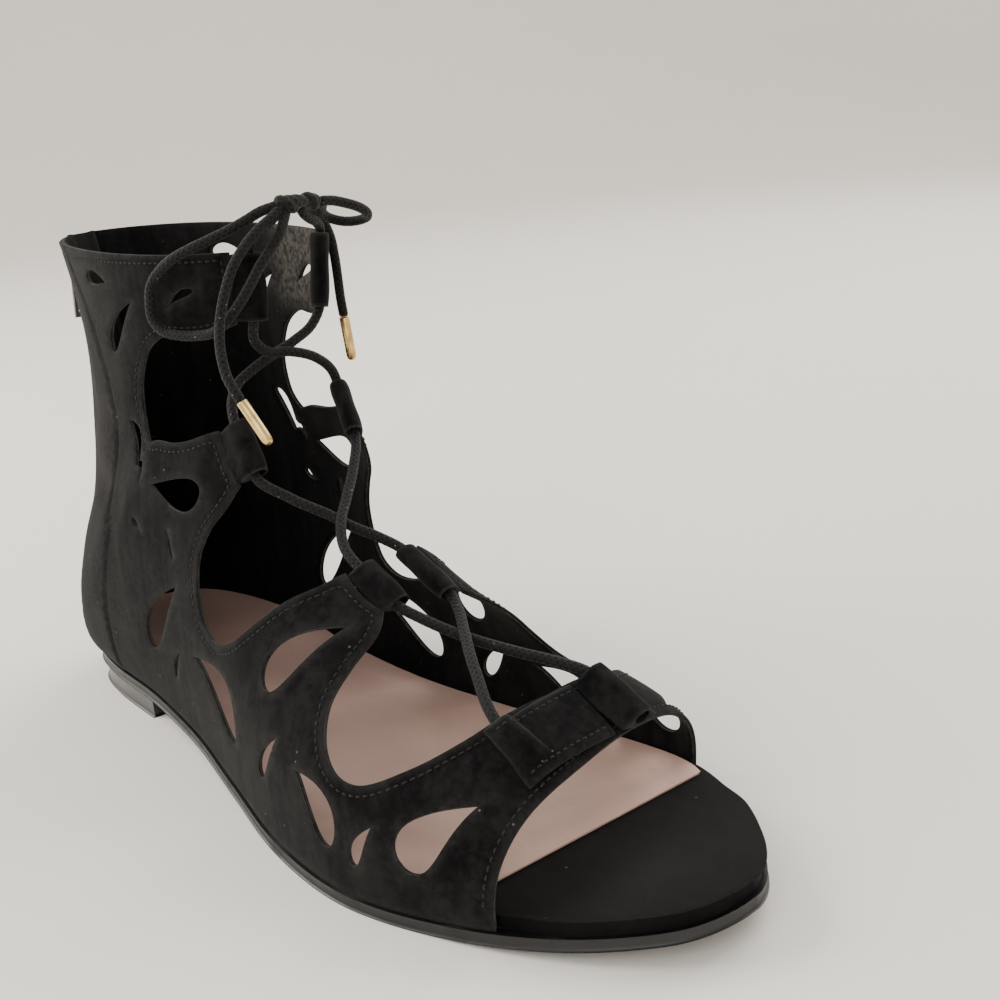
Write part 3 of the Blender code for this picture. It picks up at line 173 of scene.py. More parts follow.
FRONT_EDGE = {
    Side.LATERAL: [(0.849, 0.189), (0.853, 0.140), (0.855, 0.091), (0.852, 0.056)],
    Side.MEDIAL: [(0.837, 0.172), (0.826, 0.126), (0.817, 0.084), (0.813, 0.056)],
}
FRONT_FOOT_ALONG = {Side.LATERAL: 0.848, Side.MEDIAL: 0.812}

# Teardrop cut-outs of each side: the point, the round end, the half width and the bend
Drop = namedtuple("Drop", "point_along point_up round_along round_up half_width bend")
DROPS = [
    Drop(0.197, 0.937, 0.150, 0.945, 0.0090, 0.10),
    Drop(0.238, 0.905, 0.190, 0.795, 0.0125, 0.15),
    Drop(0.281, 0.882, 0.313, 0.918, 0.0060, -0.20),
    Drop(0.252, 0.520, 0.214, 0.655, 0.0095, 0.30),
    Drop(0.270, 0.518, 0.366, 0.505, 0.0190, 0.10),
    Drop(0.256, 0.420, 0.236, 0.446, 0.0050, 0.00),
    Drop(0.312, 0.437, 0.324, 0.382, 0.0040, 0.10),
    Drop(0.334, 0.340, 0.252, 0.190, 0.0180, 0.12),
    Drop(0.334, 0.215, 0.304, 0.148, 0.0050, 0.20),
    Drop(0.368, 0.222, 0.486, 0.128, 0.0230, -0.22),
    Drop(0.587, 0.172, 0.548, 0.104, 0.0100, 0.10),
    Drop(0.618, 0.140, 0.680, 0.070, 0.0190, -0.25),
    Drop(0.734, 0.108, 0.706, 0.058, 0.0090, 0.10),
    Drop(0.820, 0.142, 0.766, 0.074, 0.0235, 0.10),
    Drop(0.608, 0.322, 0.543, 0.224, 0.0230, 0.10),
]

# Lace routes: points chosen in metres, counted as the last's tables are
Point = namedtuple("Point", "along side up")
CROSSINGS = {
    "toe": [
        [Point(0.2105, -0.0171, 0.0399), Point(0.2065, -0.0172, 0.0420),
         Point(0.1915, -0.0105, 0.0489), Point(0.1774, -0.0014, 0.0529),
         Point(0.1700, 0.0036, 0.0545), Point(0.1640, 0.0061, 0.0567),
         Point(0.1605, 0.0059, 0.0586)],
        [Point(0.2120, 0.0136, 0.0408), Point(0.2082, 0.0135, 0.0428),
         Point(0.2048, 0.0122, 0.0443),
         Point(0.1990, 0.0095, 0.0458), Point(0.1890, 0.0042, 0.0480),
         Point(0.1785, -0.0011, 0.0507), Point(0.1675, -0.0070, 0.0554),
         Point(0.1615, -0.0094, 0.0583), Point(0.1580, -0.0096, 0.0602)],
    ],
    "instep": [
        [Point(0.1526, -0.0098, 0.0632), Point(0.1491, -0.0099, 0.0651),
         Point(0.1420, -0.0094, 0.0692), Point(0.1357, -0.0053, 0.0738),
         Point(0.1300, 0.0014, 0.0778), Point(0.1230, 0.0098, 0.0830),
         Point(0.1155, 0.0169, 0.0899), Point(0.1129, 0.0178, 0.0928)],
        [Point(0.1524, 0.0053, 0.0632), Point(0.1490, 0.0050, 0.0652),
         Point(0.1415, 0.0018, 0.0690), Point(0.1358, -0.0020, 0.0719),
         Point(0.1312, -0.0052, 0.0750), Point(0.1230, -0.0118, 0.0804),
         Point(0.1153, -0.0168, 0.0867), Point(0.1128, -0.0162, 0.0898)],
    ],
    "ankle": [
        [Point(0.1082, -0.0151, 0.0954), Point(0.1057, -0.0145, 0.0985),
         Point(0.1017, -0.0122, 0.1040), Point(0.0995, -0.0080, 0.1081),
         Point(0.0993, -0.0031, 0.1106), Point(0.1001, 0.0035, 0.1134),
         Point(0.1006, 0.0110, 0.1160), Point(0.1002, 0.0180, 0.1192),
         Point(0.0999, 0.0216, 0.1238), Point(0.0997, 0.0223, 0.1277)],
        [Point(0.1081, 0.0196, 0.0982), Point(0.1055, 0.0206, 0.1011),
         Point(0.1048, 0.0194, 0.1062), Point(0.1043, 0.0150, 0.1107),
         Point(0.1028, 0.0079, 0.1138), Point(0.1014, 0.0015, 0.1150),
         Point(0.1007, -0.0016, 0.1185), Point(0.1012, -0.0014, 0.1246),
         Point(0.1011, -0.0011, 0.1286)],
    ],
}
KNOT = [
    (Point(0.1045, 0.0075, 0.1532), 0.0010),
    (Point(0.1052, 0.0085, 0.1535), 0.0024),
    (Point(0.1064, 0.0105, 0.1538), 0.0029),
    (Point(0.1068, 0.0135, 0.1540), 0.0024),
    (Point(0.1063, 0.0160, 0.1541), 0.0018),
    (Point(0.1057, 0.0190, 0.1538), 0.0023),
    (Point(0.1055, 0.0212, 0.1530), 0.0021),
    (Point(0.1054, 0.0226, 0.1524), 0.0009),
]
CORDS = {
    "lace_loop_lateral": [
        Point(0.1030, 0.0042, 0.1527), Point(0.1011, 0.0010, 0.1510),
        Point(0.0988, -0.0035, 0.1489), Point(0.0959, -0.0080, 0.1470),
        Point(0.0928, -0.0122, 0.1452), Point(0.0883, -0.0158, 0.1427),
        Point(0.0836, -0.0175, 0.1396), Point(0.0800, -0.0188, 0.1356),
        Point(0.0786, -0.0192, 0.1310), Point(0.0786, -0.0192, 0.1263),
        Point(0.0813, -0.0184, 0.1232), Point(0.0870, -0.0163, 0.1219),
        Point(0.0924, -0.0141, 0.1219), Point(0.0976, -0.0124, 0.1228),
        Point(0.1018, -0.0105, 0.1256), Point(0.1042, -0.0074, 0.1296),
        Point(0.1061, -0.0040, 0.1346), Point(0.1078, -0.0011, 0.1394),
        Point(0.1090, 0.0024, 0.1436), Point(0.1094, 0.0058, 0.1474),
        Point(0.1084, 0.0076, 0.1494),
    ],
    "lace_end_lateral": [
        Point(0.1072, 0.0050, 0.1512), Point(0.1071, 0.0012, 0.1492),
        Point(0.1066, -0.0040, 0.1452), Point(0.1059, -0.0081, 0.1404),
        Point(0.1054, -0.0112, 0.1345), Point(0.1056, -0.0140, 0.1280),
        Point(0.1070, -0.0162, 0.1220), Point(0.1094, -0.0176, 0.1168),
        Point(0.1114, -0.0180, 0.1128), Point(0.1135, -0.0178, 0.1098),
        Point(0.1148, -0.0172, 0.1074),
    ],
    "lace_strand_lateral": [
        Point(0.1026, 0.0078, 0.1500), Point(0.1013, 0.0046, 0.1478),
        Point(0.1012, 0.0014, 0.1452), Point(0.1013, 0.0001, 0.1424),
        Point(0.1012, -0.0002, 0.1392),
    ],
    "lace_loop_medial": [
        Point(0.1059, 0.0266, 0.1525), Point(0.1064, 0.0300, 0.1514),
        Point(0.1066, 0.0340, 0.1498), Point(0.1058, 0.0374, 0.1478),
        Point(0.1032, 0.0392, 0.1460), Point(0.0996, 0.0382, 0.1450),
        Point(0.0964, 0.0354, 0.1452), Point(0.0949, 0.0318, 0.1468),
        Point(0.0965, 0.0288, 0.1490), Point(0.0998, 0.0268, 0.1508),
        Point(0.1018, 0.0254, 0.1516),
    ],
    "lace_strand_medial": [
        Point(0.1050, 0.0170, 0.1503), Point(0.1036, 0.0195, 0.1487),
        Point(0.1013, 0.0232, 0.1470), Point(0.0996, 0.0253, 0.1447),
        Point(0.0990, 0.0252, 0.1425), Point(0.0991, 0.0247, 0.1400),
    ],
    "lace_end_medial": [
        Point(0.1030, 0.0205, 0.1530), Point(0.0990, 0.0212, 0.1524),
        Point(0.0945, 0.0244, 0.1508), Point(0.0912, 0.0292, 0.1488),
        Point(0.0893, 0.0338, 0.1452), Point(0.0885, 0.0362, 0.1405),
        Point(0.0882, 0.0371, 0.1345), Point(0.0880, 0.0374, 0.1280),
        Point(0.0878, 0.0376, 0.1220), Point(0.0878, 0.0380, 0.1165),
    ],
}
AGLETS = {"aglet_lateral": "lace_end_lateral", "aglet_medial": "lace_end_medial"}
# Where each free length of the bow runs on into the knot: before its start, past its end
TUCKS = {
    "lace_loop_lateral": (Point(0.1056, 0.0082, 0.1538), Point(0.1066, 0.0104, 0.1526)),
    "lace_end_lateral": (Point(0.1064, 0.0086, 0.1530), None),
    "lace_strand_lateral": (Point(0.1052, 0.0100, 0.1526), None),
    "lace_loop_medial": (Point(0.1054, 0.0226, 0.1530), Point(0.1050, 0.0220, 0.1524)),
    "lace_strand_medial": (Point(0.1060, 0.0152, 0.1526), None),
    "lace_end_medial": (Point(0.1056, 0.0190, 0.1536), None),
}

# Creases of the upper: both ends on the side view, half width and depth in mm
Crease = namedtuple("Crease", "side from_along from_up to_along to_up half_width depth")
CREASES = [
    Crease(-1, 0.105, 0.550, 0.195, 0.500, 3.6, 0.50),
    Crease(-1, 0.115, 0.665, 0.195, 0.650, 3.4, 0.35),
    Crease(-1, 0.090, 0.860, 0.120, 0.600, 4.0, 0.45),
    Crease(-1, 0.215, 0.520, 0.180, 0.360, 3.2, 0.50),
    Crease(-1, 0.262, 0.580, 0.350, 0.545, 3.4, 0.25),
    Crease(-1, 0.420, 0.240, 0.500, 0.180, 3.6, 0.40),
    Crease(-1, 0.700, 0.150, 0.690, 0.040, 4.0, 0.45),
    Crease(-1, 0.760, 0.200, 0.800, 0.060, 3.6, 0.35),
    Crease(1, 0.060, 0.540, 0.190, 0.480, 3.4, 0.50),
    Crease(1, 0.070, 0.700, 0.170, 0.640, 3.2, 0.40),
    Crease(1, 0.230, 0.560, 0.200, 0.330, 3.2, 0.45),
    Crease(1, 0.380, 0.300, 0.470, 0.200, 3.6, 0.40),
    Crease(1, 0.690, 0.180, 0.700, 0.040, 4.0, 0.45),
]
# Back-stay seam: shares of LENGTH and of COLLAR_HEIGHT
BACK_STAY = [(0.099, 0.990), (0.160, 0.800), (0.192, 0.505), (0.160, 0.250), (0.141, 0.095)]


# Curves and meshes

def smooth(xs: Array, ys: Array, at: Array, level: bool = False) -> Array:
    """Cubic through a table's rows, with slopes from the rows on both sides.

    Args:
        xs: Rising places of the rows.
        ys: Their values.
        at: Places to work out.
        level: Whether the curve stays flat between equal rows.

    Returns:
        The values at those places.
    """
    xs, ys, at = np.asarray(xs, float), np.asarray(ys, float), np.asarray(at, float)
    step = np.diff(xs)
    rise = np.diff(ys) / step
    slope = np.empty_like(ys)
    slope[1:-1] = (rise[:-1] * step[1:] + rise[1:] * step[:-1]) / (step[1:] + step[:-1])
    slope[0] = 1.5 * rise[0] - 0.5 * slope[1]
    slope[-1] = 1.5 * rise[-1] - 0.5 * slope[-2]
    if level:
        slope[1:-1] *= rise[:-1] * rise[1:] > 0
    i = np.clip(np.searchsorted(xs, at) - 1, 0, len(xs) - 2)
    t = (at - xs[i]) / step[i]
    start = (1 + 2 * t) * (1 - t) ** 2 * ys[i] + t * (1 - t) ** 2 * step[i] * slope[i]
    return start + t * t * (3 - 2 * t) * ys[i + 1] + t * t * (t - 1) * step[i] * slope[i + 1]


def column(table: Sequence, name: str) -> Array:
    """One named column of a table."""
    return np.array([getattr(row, name) for row in table], float)


def lengths(points: Array) -> Array:
    """Length of a polyline up to each of its points."""
    return np.concatenate([[0], np.cumsum(np.linalg.norm(np.diff(points, axis=0), axis=1))])


def curve_through(points: Sequence, step: float) -> Array:
    """Points about a step apart on a smooth open curve through the given points."""
    points = np.asarray(points, float)
    along = lengths(points)
    at = np.linspace(0, along[-1], max(2, round(along[-1] / step)) + 1)
    return np.stack([smooth(along, points[:, k], at) for k in range(points.shape[1])], axis=1)


def evenly(points: Array, step: float) -> Array:
    """The same polyline with points a step apart."""
    along = lengths(points)
    at = np.linspace(0, along[-1], max(2, round(along[-1] / step)) + 1)
    return np.stack([np.interp(at, along, points[:, k]) for k in range(points.shape[1])], axis=1)


def ease(x: Array, low: float, high: float) -> Array:
    """Smooth step from 0 at low to 1 at high."""
    t = np.clip((np.asarray(x, float) - low) / (high - low), 0, 1)
    return t * t * (3 - 2 * t)


def unit(vectors: Array) -> Array:
    """Vectors of length 1 along the last axis."""
    return vectors / np.maximum(np.linalg.norm(vectors, axis=-1, keepdims=True), 1e-12)


def nearest(points: Array, others: Array, chunk: int = 1500) -> Array:
    """Distance from each point to the nearest of the others."""
    square = (others ** 2).sum(axis=1)
    best = []
    for i in range(0, len(points), chunk):
        part = points[i:i + chunk]
        far = (part ** 2).sum(axis=1)[:, None] + square[None] - 2 * part @ others.T
        best.append(np.sqrt(np.maximum(far.min(axis=1), 0)))
    return np.concatenate(best) if best else np.zeros(0)


def inside(places: Array, outline: Array) -> Array:
    """Whether places lie inside a closed outline, by counting the edges to their right."""
    a, b = outline, np.roll(outline, -1, axis=0)
    px, pz = places[:, 0:1], places[:, 1:2]
    spans = (a[None, :, 1] > pz) != (b[None, :, 1] > pz)
    drop = np.where(b[:, 1] == a[:, 1], 1, b[:, 1] - a[:, 1])
    cross = a[None, :, 0] + (pz - a[None, :, 1]) * (b[:, 0] - a[:, 0])[None] / drop[None]
    return ((px < cross) & spans).sum(axis=1) % 2 == 1


def grid_faces(rows: int, columns: int, first: int = 0, wrap: bool = True) -> Array:
    """Quads of a grid of rows, each closed on itself when wrap is set."""
    i, j = np.meshgrid(np.arange(rows - 1), np.arange(columns - (not wrap)), indexing="ij")
    k = (j + 1) % columns
    a, b = i * columns + j, i * columns + k
    return first + np.stack([a, b, b + columns, a + columns], axis=-1).reshape(-1, 4)


def make_piece(
    name: str,
    vertices: Array,
    faces: list,
    finishes: Sequence,
    replaced: Sequence[str] = (),
    body: str = "sandal",
    picks: Array | None = None,
    masks: dict[str, Array] | None = None,
    uv: Array | None = None,
    outwards: bool = False,
    sharp: float = 55.0,
) -> bpy.types.Object:
    """Make one piece with its mesh, finishes, body and replaced nodes.

    Args:
        name: Name of the piece.
        vertices: Points in the last's own frame.
        faces: Lists of vertex numbers.
        finishes: Materials in slot order.
        replaced: CAD nodes that the piece stands for.
        body: Body that it rides on.
        picks: Material number of each face.
        masks: Named values of each vertex.
        uv: Map coordinates of each face corner.
        outwards: Whether the faces' directions are worked out anew.
        sharp: Angle past which an edge stays sharp, in degrees.

    Returns:
        The piece.
    """
    mesh = bpy.data.meshes.new(name)
    mesh.from_pydata((np.asarray(vertices) - [HEEL_CENTRE, 0, 0]).tolist(), [], faces)
    if uv is not None:
        mesh.uv_layers.new(name="along").data.foreach_set("uv", np.asarray(uv, float).ravel())
    for word, values in (masks or {}).items():
        held = mesh.attributes.new(word, "FLOAT", "POINT")
        held.data.foreach_set("value", np.asarray(values, float))
    for material in finishes:
        mesh.materials.append(material)
    if picks is not None:
        mesh.polygons.foreach_set("material_index", np.asarray(picks, np.int32))
    if outwards:
        shape = bmesh.new()
        shape.from_mesh(mesh)
        bmesh.ops.recalc_face_normals(shape, faces=shape.faces)
        shape.to_mesh(mesh)
        shape.free()
    mesh.update()
    mesh.shade_smooth()
    mesh.set_sharp_from_angle(angle=math.radians(sharp))
    piece = bpy.data.objects.new(name, mesh)
    bpy.context.scene.collection.objects.link(piece)
    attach(piece, body)
    if replaced:
        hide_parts(*replaced)
    return piece


# Finishes

class Tree:
    """Adds and links the nodes of one material or node group."""

    def __init__(self, tree: bpy.types.NodeTree) -> None:
        """Keep the tree."""
        self.tree = tree

    def add(self, kind: str, links: dict | None = None, **settings: object) -> bpy.types.Node:
        """Add a node, set its options, and link or set its sockets.

        Args:
            kind: Blender's name of the node.
            links: Sockets or values, by the name or number of the input.
            settings: The node's own options.

        Returns:
            The node.
        """
        node = self.tree.nodes.new(kind)
        for word, value in settings.items():
            setattr(node, word, value)
        for socket, value in (links or {}).items():
            if isinstance(value, bpy.types.NodeSocket):
                self.tree.links.new(value, node.inputs[socket])
            else:
                node.inputs[socket].default_value = value
        return node

    def math(self, operation: str, a: object, b: object = 0.0) -> bpy.types.NodeSocket:
        """One operation on two numbers."""
        return self.add("ShaderNodeMath", {0: a, 1: b}, operation=operation).outputs[0]

    def stretch(self, vector: object, scale: Colour) -> bpy.types.NodeSocket:
        """The vector with each axis scaled."""
        return self.add("ShaderNodeMapping", {"Vector": vector, "Scale": scale}).outputs[0]

    def noise(
        self, vector: object, scale: float, detail: float = 2.0, distortion: float = 0.0
    ) -> bpy.types.NodeSocket:
        """Noise between 0 and 1."""
        links = {"Vector": vector, "Scale": scale, "Detail": detail, "Distortion": distortion}
        return self.add("ShaderNodeTexNoise", links).outputs["Fac"]

    def span(
        self, value: object, low: float, high: float, to_low: float = 0.0, to_high: float = 1.0
    ) -> bpy.types.NodeSocket:
        """The value's span from low to high, eased onto another span."""
        links = {"Value": value, "From Min": low, "From Max": high,
                 "To Min": to_low, "To Max": to_high}
        return self.add("ShaderNodeMapRange", links, interpolation_type="SMOOTHSTEP").outputs[0]

    def mix(self, share: object, first: object, second: object) -> bpy.types.NodeSocket:
        """Mix of two colours."""
        first, second = ((*c, 1.0) if isinstance(c, tuple) else c for c in (first, second))
        links = {0: share, 6: first, 7: second}
        return self.add("ShaderNodeMix", links, data_type="RGBA").outputs[2]

    def mask(self, name: str) -> bpy.types.NodeSocket:
        """A named value of the mesh."""
        return self.add("ShaderNodeAttribute", attribute_name=name).outputs["Fac"]

    def group(self, name: str, links: dict) -> bpy.types.Node:
        """One of the shared effects."""
        return self.add("ShaderNodeGroup", links, node_tree=bpy.data.node_groups[name])


def start_group(name: str, numbers: dict[str, float], outputs: Sequence[str]) -> tuple:
    """Start a shared effect: a group with a vector, named numbers and named outputs.

    Args:
        name: Name of the group.
        numbers: Its number inputs and their defaults.
        outputs: Its number outputs.

    Returns:
        The tree helper, the input node and the output node.
    """
    made = bpy.data.node_groups.new(name, "ShaderNodeTree")
    made.interface.new_socket(name="Vector", in_out="INPUT", socket_type="NodeSocketVector")
    for word, value in numbers.items():
        socket = made.interface.new_socket(
            name=word, in_out="INPUT", socket_type="NodeSocketFloat")
        socket.default_value = value
    for word in outputs:
        made.interface.new_socket(name=word, in_out="OUTPUT", socket_type="NodeSocketFloat")
    tree = Tree(made)
    return tree, tree.add("NodeGroupInput").outputs, tree.add("NodeGroupOutput").inputs


def make_effects() -> None:
    """Shared effects: nap, dust specks and scuffs."""
    tree, given, result = start_group("nap", {"Fine": 2600.0, "Broad": 55.0}, ["Shade", "Height"])
    fine = tree.noise(given["Vector"], given["Fine"], 3.0)
    clumps = tree.noise(given["Vector"], tree.math("MULTIPLY", given["Fine"], 0.22), 3.0, 0.4)
    broad = tree.noise(given["Vector"], given["Broad"], 4.0, 0.8)
    streaks = tree.noise(tree.stretch(given["Vector"], (1.0, 1.0, 0.16)),
                         tree.math("MULTIPLY", given["Broad"], 5.0), 3.0, 0.3)
    soft = tree.math("ADD", tree.math("MULTIPLY", broad, 0.55), tree.math("MULTIPLY", streaks, 0.45))
    grain = tree.math("ADD", tree.math("MULTIPLY", fine, 0.45), tree.math("MULTIPLY", clumps, 0.55))
    shade = tree.math("ADD", tree.math("MULTIPLY", soft, 0.6), tree.math("MULTIPLY", grain, 0.4))
    tree.tree.links.new(tree.span(shade, 0.41, 0.61), result["Shade"])
    tree.tree.links.new(grain, result["Height"])

    tree, given, result = start_group("dust", {"Scale": 300.0, "Size": 0.1, "Rare": 0.8}, ["Mask"])
    cells = tree.add("ShaderNodeTexVoronoi", {"Vector": given["Vector"], "Scale": given["Scale"]})
    speck = tree.math("LESS_THAN", cells.outputs["Distance"], given["Size"])
    chosen = tree.add("ShaderNodeSeparateColor", {0: cells.outputs["Color"]}).outputs[0]
    some = tree.math("GREATER_THAN", chosen, given["Rare"])
    tree.tree.links.new(tree.math("MULTIPLY", speck, some), result["Mask"])

    tree, given, result = start_group("scuff", {"Scale": 90.0, "Amount": 0.5}, ["Mask"])
    lines = tree.noise(tree.stretch(given["Vector"], (1.0, 7.0, 3.0)), given["Scale"], 6.0, 0.6)
    where = tree.noise(given["Vector"], tree.math("MULTIPLY", given["Scale"], 0.35), 2.0)
    rubbed = tree.math("MULTIPLY", tree.span(lines, 0.52, 0.68), tree.span(where, 0.45, 0.7))
    tree.tree.links.new(tree.math("MULTIPLY", rubbed, given["Amount"]), result["Mask"])


@dataclass(frozen=True)
class Finish:
    """A finish with one colour, a second one that varies over it, and a roughness."""

    name: str
    colour: Colour
    second: Colour
    roughness: float = 0.5
    bump: float = 0.3

    def begin(self) -> tuple:
        """Start the material.

        Returns:
            The material, its tree helper, its shader and its object coordinates.
        """
        material = bpy.data.materials.new(self.name)
        material.use_nodes = True
        tree = Tree(material.node_tree)
        shader = material.node_tree.nodes["Principled BSDF"]
        shader.inputs["Roughness"].default_value = self.roughness
        coords = tree.add("ShaderNodeTexCoord").outputs["Object"]
        return material, tree, shader, coords

    def close(self, tree: Tree, shader: bpy.types.Node, colour: object, height: object,
              roughness: object | None = None, distance: float = 0.0001) -> None:
        """Link what varies over the surface to the shader.

        Args:
            tree: The tree helper.
            shader: The shader.
            colour: Colour socket.
            height: Height for the bump.
            roughness: Roughness socket, or none.
            distance: Height of the bump in metres.
        """
        bump = tree.add("ShaderNodeBump", {"Height": height, "Strength": self.bump,
                                           "Distance": distance})
        tree.tree.links.new(colour, shader.inputs["Base Color"])
        tree.tree.links.new(bump.outputs[0], shader.inputs["Normal"])
        if roughness is not None:
            tree.tree.links.new(roughness, shader.inputs["Roughness"])


@dataclass(frozen=True)
class Suede(Finish):
    """Brushed suede with a nap, paler where it is rubbed and where light is painted on, and specks of
    dust.
    """

    dust: Colour = (0.09, 0.085, 0.08)
    # Paler colour of rubbed suede, also painted on as light on the heel side and as a highlight on the
    # toe
    rubbed: Colour = (0.03, 0.029, 0.028)
    sheen: float = 0.05
    clear: float = 0.4
    brush: Colour = (1.0, 1.0, 1.0)

    def material(self) -> bpy.types.Material:
        """The suede's material."""
        material, tree, shader, coords = self.begin()
        nap = tree.group("nap", {"Vector": tree.stretch(coords, self.brush)})
        colour = tree.mix(nap.outputs["Shade"], self.colour, self.second)
        blotches = tree.span(tree.noise(coords, 650.0, 6.0), 0.34, 0.66, self.clear)
        # The mask holds real wear and painted light: paler suede on the heel side and a painted
        # highlight on the toe
        worn = tree.math("MULTIPLY", tree.mask("wear"), blotches)
        colour = tree.mix(worn, colour, self.rubbed)
        lint = tree.group("dust", {"Vector": coords, "Scale": 260.0, "Size": 0.075, "Rare": 0.72})
        colour = tree.mix(lint.outputs["Mask"], colour, self.dust)
        shader.inputs["Sheen Weight"].default_value = self.sheen
        shader.inputs["Sheen Roughness"].default_value = 0.45
        shader.inputs["Specular IOR Level"].default_value = 0.08
        self.close(tree, shader, colour, nap.outputs["Height"], distance=0.00012)
        return material


@dataclass(frozen=True)
class Rubber(Finish):
    """Moulded rubber with a fine grain and dull, dusty patches."""

    coat: float = 0.0

    def material(self) -> bpy.types.Material:
        """The rubber's material."""
        material, tree, shader, coords = self.begin()
        patches = tree.noise(coords, 60.0, 4.0)
        scuff = tree.group("scuff", {"Vector": coords, "Scale": 120.0, "Amount": 0.8})
        worn = tree.math("MAXIMUM", tree.span(patches, 0.5, 0.75), scuff.outputs["Mask"])
        colour = tree.mix(worn, self.colour, self.second)
        dull = tree.span(worn, 0.0, 1.0, self.roughness, min(1.0, self.roughness + 0.3))
        shader.inputs["Coat Weight"].default_value = self.coat
        shader.inputs["Coat Roughness"].default_value = 0.25
        self.close(tree, shader, colour, tree.noise(coords, 1800.0, 3.0), dull)
        return material


@dataclass(frozen=True)
class Liner(Finish):
    """Smooth insole leather, greyer where a foot has rested, with a fine grain."""

    worn: Colour = (0.34, 0.235, 0.195)

    def material(self) -> bpy.types.Material:
        """The insole's material."""
        material, tree, shader, coords = self.begin()
        tone = tree.noise(coords, 30.0, 4.0, 0.5)
        colour = tree.mix(tree.span(tone, 0.3, 0.7), self.colour, self.second)
        colour = tree.mix(tree.math("MULTIPLY", tree.mask("wear"), 0.6), colour, self.worn)
        scuff = tree.group("scuff", {"Vector": coords, "Scale": 140.0, "Amount": 0.35})
        colour = tree.mix(scuff.outputs["Mask"], colour, self.worn)
        grain = tree.add("ShaderNodeTexVoronoi", {"Vector": coords, "Scale": 1500.0},
                         feature="DISTANCE_TO_EDGE").outputs[0]
        gloss = tree.span(tone, 0.3, 0.7, self.roughness - 0.06, self.roughness + 0.1)
        self.close(tree, shader, colour, grain, gloss, distance=0.00008)
        return material


@dataclass(frozen=True)
class Braid(Finish):
    """Woven cord: two families of slanting strands over the cord's own map."""

    around: float = 5.0
    pitch: float = 0.0017

    def material(self) -> bpy.types.Material:
        """The cord's material."""
        material, tree, shader, coords = self.begin()
        uv = tree.add("ShaderNodeUVMap", uv_map="along").outputs[0]
        split = tree.add("ShaderNodeSeparateXYZ", {0: uv}).outputs
        turn = tree.math("MULTIPLY", split[0], 2 * math.pi * self.around)
        along = tree.math("MULTIPLY", split[1], 2 * math.pi / self.pitch)
        left = tree.math("SINE", tree.math("ADD", turn, along))
        right = tree.math("SINE", tree.math("SUBTRACT", turn, along))
        weave = tree.span(tree.math("MAXIMUM", left, right), -0.2, 1.0)
        fuzz = tree.noise(coords, 3200.0, 3.0)
        shade = tree.math("MULTIPLY", weave, tree.span(fuzz, 0.25, 0.7, 0.35, 1.0))
        colour = tree.mix(shade, self.colour, self.second)
        lint = tree.group("dust", {"Vector": coords, "Scale": 520.0, "Size": 0.12, "Rare": 0.8})
        colour = tree.mix(lint.outputs["Mask"], colour, (0.12, 0.115, 0.11))
        shader.inputs["Sheen Weight"].default_value = 0.06
        shader.inputs["Specular IOR Level"].default_value = 0.2
        height = tree.math("ADD", weave, tree.math("MULTIPLY", fuzz, 0.4))
        self.close(tree, shader, colour, height, distance=0.00012)
        return material


@dataclass(frozen=True)
class Cloth(Finish):
    """Fine woven textile, as on a zip tape."""

    thread: float = 0.00045

    def material(self) -> bpy.types.Material:
        """The textile's material."""
        material, tree, shader, coords = self.begin()
        rate = 2 * math.pi / self.thread
        split = tree.add("ShaderNodeSeparateXYZ", {0: coords}).outputs
        ribs = [tree.math("SINE", tree.math("MULTIPLY", split[k], rate)) for k in range(3)]
        weave = tree.span(tree.math("ADD", tree.math("MULTIPLY", ribs[0], ribs[2]), ribs[1]),
                          -1.5, 1.5)
        soft = tree.noise(coords, 80.0, 3.0)
        colour = tree.mix(tree.math("MULTIPLY", weave, tree.span(soft, 0.2, 0.8, 0.5, 1.0)),
                          self.colour, self.second)
        shader.inputs["Specular IOR Level"].default_value = 0.25
        self.close(tree, shader, colour, weave, distance=0.00006)
        return material


@dataclass(frozen=True)
class Metal(Finish):
    """Plated metal with fine scratches and darker tarnish."""

    def material(self) -> bpy.types.Material:
        """The metal's material."""
        material, tree, shader, coords = self.begin()
        shader.inputs["Metallic"].default_value = 1.0
        tarnish = tree.noise(coords, 240.0, 4.0)
        scuff = tree.group("scuff", {"Vector": coords, "Scale": 700.0, "Amount": 0.9})
        colour = tree.mix(tree.span(tarnish, 0.45, 0.75), self.colour, self.second)
        dull = tree.math("ADD", tree.span(tarnish, 0.3, 0.8, self.roughness, self.roughness + 0.15),
                         tree.math("MULTIPLY", scuff.outputs["Mask"], 0.25))
        self.close(tree, shader, colour, scuff.outputs["Mask"], dull, distance=0.00003)
        return material


@dataclass(frozen=True)
class Plain(Finish):
    """A pale studio surface with a faint grain."""

    def material(self) -> bpy.types.Material:
        """The surface's material."""
        material, tree, shader, coords = self.begin()
        tone = tree.noise(coords, 9.0, 4.0)
        self.close(tree, shader, tree.mix(tone, self.colour, self.second),
                   tree.noise(coords, 160.0, 3.0), distance=0.0005)
        return material


